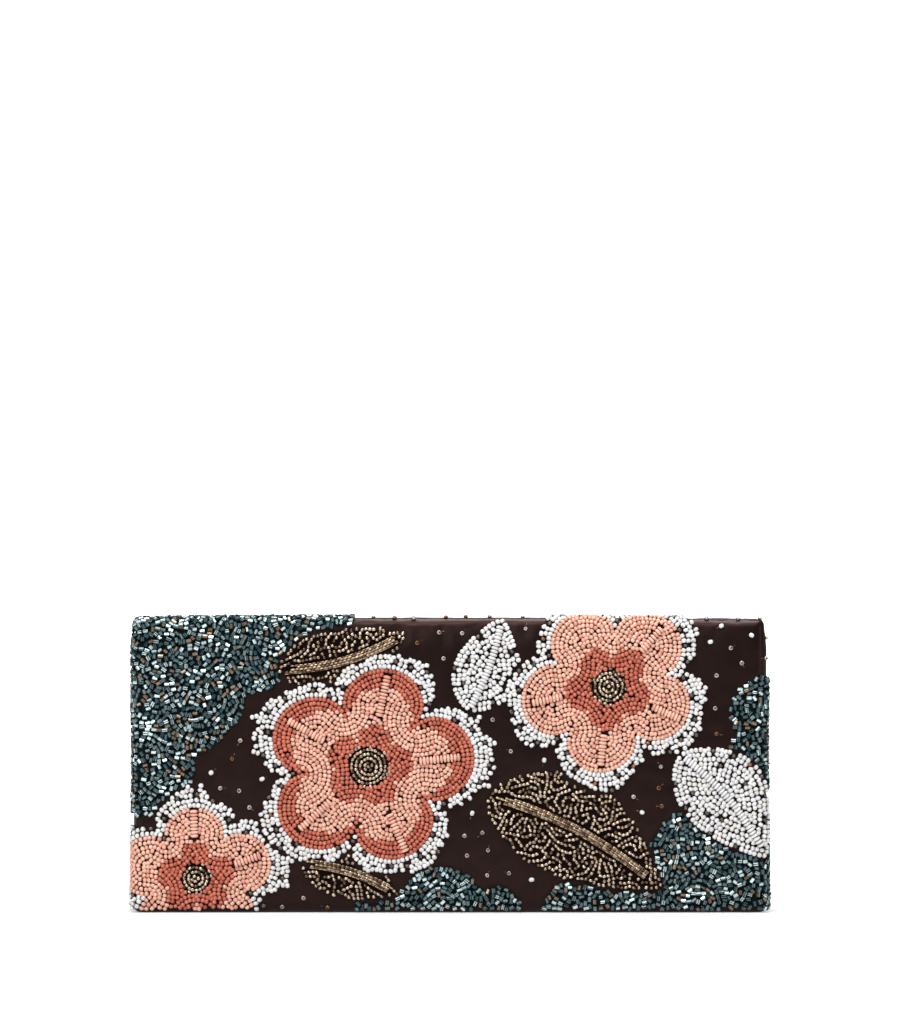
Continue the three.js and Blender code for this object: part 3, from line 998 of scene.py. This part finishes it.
def edge_walk(wide, high):
    """Places of a grid along its border, in order round it."""
    across, upward = np.arange(wide - 1), np.arange(high - 1)
    sides = [(across, 0 * across), (0 * upward + wide - 1, upward),
             (wide - 1 - across, 0 * across + high - 1), (0 * upward, high - 1 - upward)]
    return tuple(np.concatenate(part) for part in zip(*sides))


def lip_strip(count, low, high):
    """UV corners of a strip of faces between two heights."""
    run = np.arange(count + 1) / count
    corners = [(run[1:], low), (run[:-1], low), (run[:-1], high), (run[1:], high)]
    columns = [np.stack([across, np.full(count, level)], axis=1) for across, level in corners]
    return np.stack(columns, axis=1)


def satin_shell(name, relief, sewn_at, slack, painted_shares):
    """A padded satin wall with an outer and an inner face and a turned rim. The named shares of painted
    shade and painted reflected light that it is given are noted on the outer face."""
    lines_u, lines_v = grid_lines(FACE_X), MIDDLE + grid_lines(FACE_Z)
    u, v = np.meshgrid(lines_u, lines_v, indexing="ij")
    top_of_roll = MIDDLE + FACE_Z + OVER_ROLL
    up_wall = np.clip((v - top_of_roll) / WALL_RUN, 0, 1)
    lip = DEPTH / 2 - EDGE_ROLL - rim_depth(np.clip(u, -FACE_X, FACE_X))
    v = np.where(v > top_of_roll, top_of_roll + up_wall * lip, v)
    over = np.maximum(np.abs(lines_u[:, None]) - FACE_X, np.abs(lines_v[None, :] - MIDDLE) - FACE_Z)
    to_rim = OVER_ROLL + WALL_RUN - over
    dip = SEAM_DIP * np.exp(-to_rim / SEAM_DIP_RUN)
    outer = bag_point(u, v, relief(u, v) - dip, square=True).reshape(-1, 3)
    inner = bag_point(u, v, -WALL + 0 * u, square=True).reshape(-1, 3)
    wide, high = u.shape
    edge = edge_walk(wide, high)
    count = len(edge[0])
    rim = bag_point(u[edge], v[edge], np.full(count, -WALL / 2), square=True)
    rim[:, 1] += SEAM_GAP / 2 + RIM_OUT
    sheet = wide * high
    number = np.arange(sheet).reshape(wide, high)
    corners = (number[:-1, :-1], number[1:, :-1], number[1:, 1:], number[:-1, 1:])
    quad = np.stack(corners, axis=-1).reshape(-1, 4)
    below = lines_v[None, :] < MIDDLE - FACE_Z - BASE_HOLD * OVER_ROLL
    sewn = np.maximum(np.round(sewn_at(u, v)), ((to_rim < RIM_HOLD) | below).astype(float))
    outer = let_settle(outer, quad, sewn.ravel(), slack)
    points = np.concatenate([outer, inner, rim])
    ring, turned = number[edge], 2 * sheet + np.arange(count)
    ahead, turned_ahead = np.roll(ring, -1), np.roll(turned, -1)
    outer_lip = np.stack([ahead, ring, turned, turned_ahead], axis=1)
    inner_lip = np.stack([turned_ahead, turned, ring + sheet, ahead + sheet], axis=1)
    faces = np.concatenate([quad, quad[:, ::-1] + sheet, outer_lip, inner_lip])
    shares = [(lines - lines[0]) / np.ptp(lines) for lines in (lines_u, lines_v)]
    flat = np.stack(np.meshgrid(*shares, indexing="ij"), axis=-1).reshape(-1, 2)
    uv = np.concatenate([
        flat[quad] * FACE_UV + OUTER_UV, flat[quad[:, ::-1]] * FACE_UV + INNER_UV,
        lip_strip(count, *LIP_UV), lip_strip(count, *INNER_LIP_UV),
    ])
    starts = np.arange(len(faces)) * 4
    thing = mesh_object(
        name, points, faces.ravel(), starts, np.full(len(faces), True), uv.reshape(-1, 2))
    for label, share_at in painted_shares.items():
        painted_share = np.zeros(len(points))
        painted_share[:sheet] = share_at(u, v).ravel()
        note(thing, label, painted_share)
    return thing


def grid_reader(field):
    """Reads a grid of the layout at any spots."""
    def read(u, v):
        a = np.clip((u - U_LOW) / GRID, 0, field.shape[0] - 1.001)
        b = np.clip((v - V_LOW) / GRID, 0, field.shape[1] - 1.001)
        i, j = a.astype(int), b.astype(int)
        return between(field, i, j, a - i, b - j)

    return read


bareness = grid_reader(blur(1.0 - blur(beaded.astype(float), BARE_BLUR), RELIEF_BLUR))


def beaded_relief(u, v):
    """Satin drawn flat where beads are sewn and a little proud between them."""
    return PROUD * bareness(u, v) - SUNK


def plain_relief(u, v):
    """Slow waves in satin drawn over wadding, a little lower along the back lip."""
    waves = WAVE * np.sin(u / 19 + 0.8 * np.sin(v / 23)) * np.sin(v / 15 + u / 41)
    return waves - BACK_FALL * top_fall(v)


def nothing_sewn(u, v):
    return 0 * u


def turn_to_back(thing):
    """Turns a shell half round about the upright through the seam."""
    places = np.empty(len(thing.data.vertices) * 3, np.float32)
    thing.data.vertices.foreach_get("co", places)
    places = places.reshape(-1, 3) * np.array([-1, -1, 1]) + np.array([0, 2 * SEAM_Y * MM, 0])
    thing.data.vertices.foreach_set("co", places.astype(np.float32).ravel())
    thing.data.update()


# The magnet: height of its centre, its gap to the back wall, and its profile as radius and height
MAGNET_Z = 112
MAGNET_GAP = 0.25
MAGNET_SIDES = 48
MAGNET_PROFILE = [
    (3.2, 2.3), (3.6, 2.05), (4.6, 2.05), (5.0, 2.3), (6.3, 2.3), (6.8, 2.1), (7.0, 1.7), (7.0, 0.6),
    (6.8, 0.2), (6.3, 0.0),
]


def magnet_disc():
    """A plain disc with a rounded rim and a shallow ring in its face."""
    angle = np.arange(MAGNET_SIDES) / MAGNET_SIDES * math.tau
    seat = SEAM_Y + DEPTH / 2 - WALL - MAGNET_GAP
    points, faces = [], []
    for radius, height in MAGNET_PROFILE:
        points += [(radius * math.cos(a), seat - height, MAGNET_Z + radius * math.sin(a)) for a in angle]
    number = np.arange(len(points)).reshape(-1, MAGNET_SIDES)
    for here, there in zip(number[:-1], number[1:]):
        faces += np.stack([here, there, np.roll(there, -1), np.roll(here, -1)], axis=1).tolist()
    faces += [number[0].tolist(), number[-1, ::-1].tolist()]
    return plain_object("magnet_disc", [tuple(MM * c for c in p) for p in points], faces)


# Where the satin is held by beads, and the share of it that takes painted shade under teal and bronze
# beads, tinted teal as a painted reflection under teal ones
HOLD_BLUR, HOLD_SHARE, SINGLE_HOLD = 0.8, 0.25, 1.2
PAINTED_SHARE_BLUR = 0.6


def painted_share_of(*beads):
    spots = np.any([zone["spots"] for zone in zones if zone["bead"] in beads], axis=0)
    return grid_reader(blur(spots.astype(float), PAINTED_SHARE_BLUR))


sewn_grid = blur(beaded.astype(float), HOLD_BLUR) > HOLD_SHARE
for u, v in singles:
    sewn_grid |= np.hypot(SHEET_U - u, SHEET_V - v) < SINGLE_HOLD
beads_hold = grid_reader(sewn_grid.astype(float))
# Shares of painted shade under teal and bronze beads, and of painted teal reflection under teal ones
painted_shares = {"painted_bead_shade": painted_share_of("teal", "bronze"), "painted_teal_shade": painted_share_of("teal")}
front_satin = satin_shell("front_satin", beaded_relief, beads_hold, FRONT_SLACK, painted_shares)
back_satin = satin_shell("back_satin", plain_relief, nothing_sewn, BACK_SLACK, {})
turn_to_back(back_satin)
magnet = magnet_disc()


# Finishes
def srgb(red, green, blue):
    """A colour given as it looks on a screen, 0 to 255, as linear light."""
    share = np.array([red, green, blue]) / 255
    linear = np.where(share <= 0.04045, share / 12.92, ((share + 0.055) / 1.055) ** 2.4)
    return (*[float(c) for c in linear], 1.0)


COLOR, VALUE = "NodeSocketColor", "NodeSocketFloat"


def new_group(name, inputs, outputs):
    """A shader node group with named sockets, given as name and kind."""
    group = bpy.data.node_groups.new(name, "ShaderNodeTree")
    for label, kind in inputs:
        group.interface.new_socket(label, in_out="INPUT", socket_type=kind)
    for label, kind in outputs:
        group.interface.new_socket(label, in_out="OUTPUT", socket_type=kind)
    return group, group.nodes.new("NodeGroupInput"), group.nodes.new("NodeGroupOutput")


def feed(tree, socket, value):
    """Links another socket to a socket, or sets a plain value on it."""
    if isinstance(value, bpy.types.NodeSocket):
        tree.links.new(value, socket)
    else:
        socket.default_value = value


def wire(tree, node, values):
    """Feeds a node's sockets by their names."""
    for label, value in values.items():
        feed(tree, node.inputs[label], value)


def add_node(tree, kind, values):
    node = tree.nodes.new(kind)
    wire(tree, node, values)
    return node


def add_math(tree, operation, *values):
    node = tree.nodes.new("ShaderNodeMath")
    node.operation = operation
    for socket, value in zip(node.inputs, values):
        feed(tree, socket, value)
    return node.outputs[0]


def add_mix(tree, share, first, second, way="MIX"):
    """A mix of two colours."""
    node = tree.nodes.new("ShaderNodeMix")
    node.data_type = "RGBA"
    node.blend_type = way
    sockets = {socket.identifier: socket for socket in node.inputs}
    for label, value in (("Factor_Float", share), ("A_Color", first), ("B_Color", second)):
        feed(tree, sockets[label], value)
    return next(s for s in node.outputs if s.identifier == "Result_Color")


def add_attribute(tree, name):
    node = tree.nodes.new("ShaderNodeAttribute")
    node.attribute_name = name
    return node.outputs["Fac"]


def add_ramp(tree, value, start, end, low, high):
    """A smooth change from low to high as a value goes from start to end."""
    node = add_node(tree, "ShaderNodeMapRange", {
        "Value": value, "From Min": start, "From Max": end, "To Min": low, "To Max": high,
    })
    node.interpolation_type = "SMOOTHSTEP"
    return node.outputs["Result"]


# Glass: how dark the painted shade in a hole is, its colour, the heights between which painted shade
# darkens a bead towards the cloth, how much it dims, and how far the gloss of beads differs
HOLE_PAINTED_SHADE = 0.85
HOLE_SHADE_COLOUR = (0.004, 0.003, 0.003, 1)
PAINTED_SHADE_HEIGHTS = (0.5, -0.4)
PAINTED_SHADE_DIM = (0.5, 0.5, 0.5, 1)
GLOSS_SPREAD = 0.16


def bead_tint_group():
    """Colour of one bead among many: from deep to pale, now and then an odd one, with painted shade that
    darkens and deepens it towards the cloth, and painted shade in the hole and at the ends."""
    group, give, take = new_group(
        "bead_tint",
        [("Deep", COLOR), ("Pale", COLOR), ("Odd", COLOR), ("Odd Share", VALUE), ("Painted Shade", VALUE)],
        [("Color", COLOR), ("Dullness", VALUE)],
    )
    tone, odd, painted_hole_shade = (add_attribute(group, name) for name in ("tone", "odd", "painted_hole_shade"))
    plain = add_mix(group, tone, give.outputs["Deep"], give.outputs["Pale"])
    is_odd = add_math(group, "LESS_THAN", odd, give.outputs["Odd Share"])
    mixed = add_mix(group, is_odd, plain, give.outputs["Odd"])
    # Painted shade: the side of a bead towards the cloth is dimmed and deepened in hue
    painted_shade_share = add_ramp(group, add_attribute(group, "height"), *PAINTED_SHADE_HEIGHTS, 0.0, 1.0)
    painted_shade_hue = add_mix(group, 1.0, mixed, mixed, "MULTIPLY")
    dim = add_mix(group, 1.0, painted_shade_hue, PAINTED_SHADE_DIM, "MULTIPLY")
    shaded = add_mix(group, add_math(group, "MULTIPLY", painted_shade_share, give.outputs["Painted Shade"]), mixed, dim)
    # Painted shade in the hole and on the end rings
    hole = add_math(group, "MULTIPLY", painted_hole_shade, HOLE_PAINTED_SHADE)
    wire(group, take, {
        "Color": add_mix(group, hole, shaded, HOLE_SHADE_COLOUR),
        "Dullness": add_math(group, "MULTIPLY", odd, GLOSS_SPREAD),
    })
    return group


# Weave: how much threads are drawn out along the bag, scale of the slow clouds of tone, least dullness
# and how much the clouds add
THREAD_STRETCH = (0.25, 1.0, 1.0)
CLOUD_SCALE = 24.0
SATIN_DULLNESS, CLOUD_DULLNESS = 0.26, 0.16


def weave_group():
    """Satin: fine floats of thread along the cloth, with slow changes of tone."""
    group, give, take = new_group(
        "satin_weave",
        [("Ground", COLOR), ("Float", COLOR), ("Thread", VALUE)],
        [("Color", COLOR), ("Height", VALUE), ("Dullness", VALUE)],
    )
    place = group.nodes.new("ShaderNodeTexCoord").outputs["Object"]
    stretch = add_node(group, "ShaderNodeMapping", {"Vector": place, "Scale": THREAD_STRETCH})
    floats = add_node(group, "ShaderNodeTexNoise", {
        "Vector": stretch.outputs["Vector"], "Scale": give.outputs["Thread"], "Detail": 3.0,
    }).outputs["Fac"]
    clouds = add_node(group, "ShaderNodeTexNoise", {
        "Vector": place, "Scale": CLOUD_SCALE, "Detail": 2.0,
    }).outputs["Fac"]
    share = add_math(group, "MULTIPLY", floats, clouds)
    wire(group, take, {
        "Color": add_mix(group, share, give.outputs["Ground"], give.outputs["Float"]),
        "Height": floats,
        "Dullness": add_math(group, "MULTIPLY_ADD", clouds, CLOUD_DULLNESS, SATIN_DULLNESS),
    })
    return group


BEAD_TINT = bead_tint_group()
WEAVE = weave_group()


def new_finish(name):
    """A material with its tree and its Principled shader."""
    finish = bpy.data.materials.new(name)
    finish.use_nodes = True
    return finish, finish.node_tree, finish.node_tree.nodes["Principled BSDF"]


def place_group(tree, group, values):
    node = tree.nodes.new("ShaderNodeGroup")
    node.node_tree = group
    wire(tree, node, values)
    return node.outputs


def place_tint(tree, deep, pale, odd, odd_share, painted_shade):
    return place_group(tree, BEAD_TINT, {
        "Deep": srgb(*deep), "Pale": srgb(*pale), "Odd": srgb(*odd), "Odd Share": odd_share, "Painted Shade": painted_shade,
    })


def bead_finish(name, deep, pale, odd, odd_share, dullness, metallic):
    """Glass beads: each has its own tone, and its own gloss above a least dullness."""
    finish, tree, shader = new_finish(name)
    # Full painted shade towards the cloth
    tint = place_tint(tree, deep, pale, odd, odd_share, 1.0)
    wire(tree, shader, {
        "Base Color": tint["Color"], "Metallic": metallic,
        "Roughness": add_math(tree, "ADD", tint["Dullness"], dullness),
    })
    return finish


# Lining of a cut bead, partly a painted highlight: where its bar fades across the bead, where the dark slit
# of some beads does, above which oddness they have one, where the painted highlight on the flanks fades,
# its strength, and where both end
LINING_BAR, LINING_SLIT, SLIT_ABOVE = (0.5, 0.78), (0.1, 0.32), 0.6
FLANK_HIGHLIGHT, FLANK_HIGHLIGHT_STRENGTH = (0.15, 0.4), 0.8
LINING_END = (0.74, 0.96)


def lining_and_highlight_mask(tree):
    """The silver lining of a cut bead, partly its own colour and partly a painted highlight: a bar along
    its middle, two thin lines on some, and a painted highlight on the flanks.
    """
    off_middle, off_level, off_centre = (
        add_math(tree, "ABSOLUTE", add_attribute(tree, name)) for name in ("across", "height", "along"))
    bar = add_ramp(tree, off_middle, *LINING_BAR, 1.0, 0.0)
    slit = add_ramp(tree, off_middle, *LINING_SLIT, 1.0, 0.0)
    has_slit = add_math(tree, "GREATER_THAN", add_attribute(tree, "odd"), SLIT_ABOVE)
    bar = add_math(tree, "SUBTRACT", bar, add_math(tree, "MULTIPLY", slit, has_slit))
    # Painted highlight on the flanks, for beads seen side-on on the edge roll
    flank_highlight = add_ramp(tree, off_level, *FLANK_HIGHLIGHT, FLANK_HIGHLIGHT_STRENGTH, 0.0)
    bar = add_math(tree, "MAXIMUM", bar, flank_highlight)
    return add_math(tree, "MULTIPLY", bar, add_ramp(tree, off_centre, *LINING_END, 1.0, 0.0))


def cut_glass_finish():
    """Dark teal glass, with painted shade at its sides, round a silver lining whose painted highlight
    is brighter in some beads than in others.
    """
    finish, tree, shader = new_finish("teal_glass")
    # Light painted shade towards the cloth
    tint = place_tint(tree, (26, 67, 74), (220, 243, 244), (124, 100, 74), 0.1, 0.3)
    wire(tree, shader, {
        # Dark teal at the sides of a bead, partly painted shade, with the lining between
        "Base Color": add_mix(tree, lining_and_highlight_mask(tree), srgb(5, 34, 39), tint["Color"]),
        "Roughness": add_math(tree, "ADD", tint["Dullness"], 0.12),
        "Metallic": 0.45, "Coat Weight": 0.5, "Coat Roughness": 0.06,
    })
    return finish


def satin_finish():
    """Dark brown satin, duller where teal or bronze beads cover it, with painted shade there that is
    tinted teal under teal beads as a painted reflection.
    """
    finish, tree, shader = new_finish("brown_satin")
    weave = place_group(tree, WEAVE, {
        "Ground": srgb(8, 5, 5), "Float": srgb(27, 18, 17), "Thread": 2600.0,
    })
    # Painted shade under teal and bronze beads, tinted teal under teal ones as painted reflected light
    painted_share = add_attribute(tree, "painted_bead_shade")
    satin_shade_colour = add_mix(tree, add_attribute(tree, "painted_teal_shade"), srgb(7, 4, 3), srgb(6, 24, 26))
    bump = add_node(tree, "ShaderNodeBump", {
        "Strength": 0.25, "Distance": 0.0001, "Height": weave["Height"],
    })
    wire(tree, shader, {
        "Base Color": add_mix(tree, painted_share, weave["Color"], satin_shade_colour),
        "Roughness": add_math(tree, "MULTIPLY_ADD", painted_share, 0.6, weave["Dullness"]),
        "Normal": bump.outputs["Normal"],
        "Specular IOR Level": 0.25, "Specular Tint": (1.0, 0.57, 0.51, 1.0),
        "Sheen Weight": 0.06, "Sheen Roughness": 0.4, "Sheen Tint": srgb(196, 150, 140),
    })
    return finish


def thread_finish():
    finish, tree, shader = new_finish("brown_thread")
    tint = place_tint(tree, (96, 66, 50), (150, 112, 90), (70, 46, 36), 0.2, 0.0)
    wire(tree, shader, {"Base Color": tint["Color"], "Roughness": 0.7})
    return finish


def magnet_finish():
    finish, tree, shader = new_finish("nickel")
    weave = place_group(tree, WEAVE, {
        "Ground": srgb(150, 146, 140), "Float": srgb(190, 186, 180), "Thread": 900.0,
    })
    wire(tree, shader, {"Base Color": weave["Color"], "Roughness": weave["Dullness"], "Metallic": 1.0})
    return finish


# Glass of each bead: name, deep, pale and odd colour, share of odd ones, least dullness and metallic
GLASS = {
    "white": ("white_glass", (208, 207, 207), (230, 229, 229), (222, 216, 210), 0.1, 0.25, 0.0),
    "peach": ("peach_glass", (220, 163, 142), (234, 185, 164), (210, 147, 126), 0.12, 0.28, 0.0),
    "terracotta": ("terracotta_glass", (176, 90, 70), (198, 110, 87), (160, 76, 58), 0.12, 0.22, 0.0),
    "bronze": ("bronze_glass", (132, 110, 92), (214, 196, 174), (92, 74, 60), 0.14, 0.12, 0.85),
    "strand": ("bronze_wire", (140, 114, 90), (206, 184, 156), (104, 82, 64), 0.25, 0.16, 0.9),
    "lined": ("lined_glass", (96, 88, 84), (230, 220, 210), (146, 100, 66), 0.12, 0.14, 0.5),
}
finishes = {bead: bead_finish(*look) for bead, look in GLASS.items()}
finishes.update({"teal": cut_glass_finish(), "thread": thread_finish()})

# Bead pieces: name, bead, form, material slot, and whether the piece stands for the slot's nodes
BEAD_PIECES = [
    ("teal_two_cuts", "teal", CUT_TUBE, "teal_beads", True),
    ("white_seed_beads", "white", ROUND_BEAD, "white_beads", True),
    ("peach_seed_beads", "peach", ROUND_BEAD, "peach_beads", True),
    ("terracotta_seed_beads", "terracotta", ROUND_BEAD, "terracotta_beads", True),
    ("bronze_seed_beads", "bronze", ROUND_BEAD, "bronze_beads", True),
    ("bronze_strands", "strand", STRAND, "bronze_beads", False),
    ("lined_seed_beads", "lined", RING_BEAD, "bronze_beads", False),
    ("thread_stitches", "thread", STITCH, "satin", False),
]


def nodes_in(slot):
    return [part["node"] for part in frame["record"]["subparts"] if part["material_slot"] == slot]


# Each piece with its finish, its slot and the nodes that it stands for
pieces = []
for name, bead, form, slot, stands in BEAD_PIECES:
    pieces.append((bead_object(name, bead, form), finishes[bead], slot, nodes_in(slot) if stands else []))
SATIN = satin_finish()
pieces += [
    (front_satin, SATIN, "satin", ["front_shell"]),
    (back_satin, SATIN, "satin", ["back_shell"]),
    (magnet, magnet_finish(), "magnet", ["magnet_clasp"]),
]
for piece, finish, slot, nodes in pieces:
    piece.data.materials.append(finish)
    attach(piece, "root")
    if nodes:
        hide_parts(*nodes)

# Stage, in metres: its near and far ends, the bend up to the backdrop, and its width and height. The
# paper glows a little for the camera, more with distance, so that it shows as white.
STAGE_NEAR, STAGE_FAR, STAGE_BEND, STAGE_WIDE, STAGE_TALL = -2.6, 2.2, 0.8, 5.0, 3.0
BEND_STEPS = 12
PAPER = (0.62, 0.62, 0.62, 1)
WHITE = (1, 1, 1, 1)
PAPER_GLOW, CAMERA_GLOW, FAR_GLOW = 0.22, 0.06, 0.5

# Lights: name, place, aim, width, height and power
BAG_MIDDLE = (0, 0, 0.06)
LIGHTS = [
    ("key", (-0.4, -1.2, 1.6), BAG_MIDDLE, 1.2, 0.8, 27.5),
    ("top", (0.1, 0.05, 1.4), BAG_MIDDLE, 1.0, 0.5, 17.0),
    ("front", (-0.7, -2.4, 1.1), BAG_MIDDLE, 1.2, 0.6, 11.0),
    ("left", (-1.5, -0.9, 0.4), BAG_MIDDLE, 0.3, 1.0, 3.0),
    ("right", (1.5, -0.9, 0.4), BAG_MIDDLE, 0.3, 1.0, 3.0),
    ("backdrop", (0, 0.9, 2.4), (0, 2.9, 0.7), 2.0, 0.5, 50.0),
]
ROOM_LIGHT = 0.14


def paper_finish():
    paper, tree, shader = new_finish("white_paper")
    seen = tree.nodes.new("ShaderNodeLightPath").outputs["Is Camera Ray"]
    away = tree.nodes.new("ShaderNodeVectorMath")
    away.operation = "LENGTH"
    feed(tree, away.inputs[0], tree.nodes.new("ShaderNodeTexCoord").outputs["Object"])
    share = add_math(tree, "MULTIPLY_ADD", away.outputs["Value"], FAR_GLOW, CAMERA_GLOW)
    wire(tree, shader, {
        "Base Color": PAPER, "Roughness": 0.9, "Emission Color": WHITE,
        "Emission Strength": add_math(tree, "MULTIPLY_ADD", seen, share, PAPER_GLOW),
    })
    return paper


def stage_sweep():
    """A pale floor that curves up into a backdrop far behind the bag."""
    line = [(STAGE_NEAR, 0.0), (STAGE_FAR, 0.0)]
    for a in np.linspace(0, math.pi / 2, BEND_STEPS)[1:]:
        line.append((STAGE_FAR + STAGE_BEND * math.sin(a), STAGE_BEND * (1 - math.cos(a))))
    line.append((STAGE_FAR + STAGE_BEND, STAGE_TALL))
    points = [(x, y, z) for y, z in line for x in (-STAGE_WIDE / 2, STAGE_WIDE / 2)]
    faces = [(2 * i, 2 * i + 1, 2 * i + 3, 2 * i + 2) for i in range(len(line) - 1)]
    thing = plain_object("sweep", points, faces)
    thing.data.materials.append(paper_finish())


def add_light(name, place, aim, width, height, power):
    lamp = bpy.data.lights.new(name, "AREA")
    lamp.shape = "RECTANGLE"
    lamp.size, lamp.size_y = width, height
    lamp.energy = power
    thing = add_object(name, lamp)
    thing.location = place
    heading = np.array(aim) - np.array(place)
    pitch = math.atan2(math.hypot(heading[0], heading[1]), -heading[2])
    thing.rotation_euler = (pitch, 0, math.atan2(-heading[0], heading[1]))


def studio_world():
    """A dim room for the reflections that shows as white to the camera."""
    world = bpy.data.worlds.new("studio")
    bpy.context.scene.world = world
    world.use_nodes = True
    tree = world.node_tree
    dim = tree.nodes["Background"]
    wire(tree, dim, {"Color": WHITE, "Strength": ROOM_LIGHT})
    pale = add_node(tree, "ShaderNodeBackground", {"Color": WHITE, "Strength": 1.0})
    seen = tree.nodes.new("ShaderNodeLightPath").outputs["Is Camera Ray"]
    mix = tree.nodes.new("ShaderNodeMixShader")
    for socket, value in zip(mix.inputs, (seen, dim.outputs[0], pale.outputs[0])):
        feed(tree, socket, value)
    wire(tree, tree.nodes["World Output"], {"Surface": mix.outputs[0]})


stage_sweep()
for light in LIGHTS:
    add_light(*light)
studio_world()
bpy.context.scene.view_settings.view_transform = "Standard"

# The photograph's frame: its long side covers FRAME_TALL millimetres at the bag's front
FRAME_PIXELS = 1018
MM_PER_PIXEL = 0.4396
FRAME_TALL = FRAME_PIXELS * MM_PER_PIXEL
VIEW_HEIGHT = 177.6
VIEW_DISTANCE = 3000.0
SENSOR = 36.0
camera = bpy.data.cameras.new("camera")
camera.sensor_width = SENSOR
camera.lens = SENSOR * (VIEW_DISTANCE - DEPTH / 2) / FRAME_TALL
eye = add_object("camera", camera)
eye.location = (0, -VIEW_DISTANCE * MM, VIEW_HEIGHT * MM)
eye.rotation_euler = (math.pi / 2, 0, 0)
bpy.context.scene.camera = eye
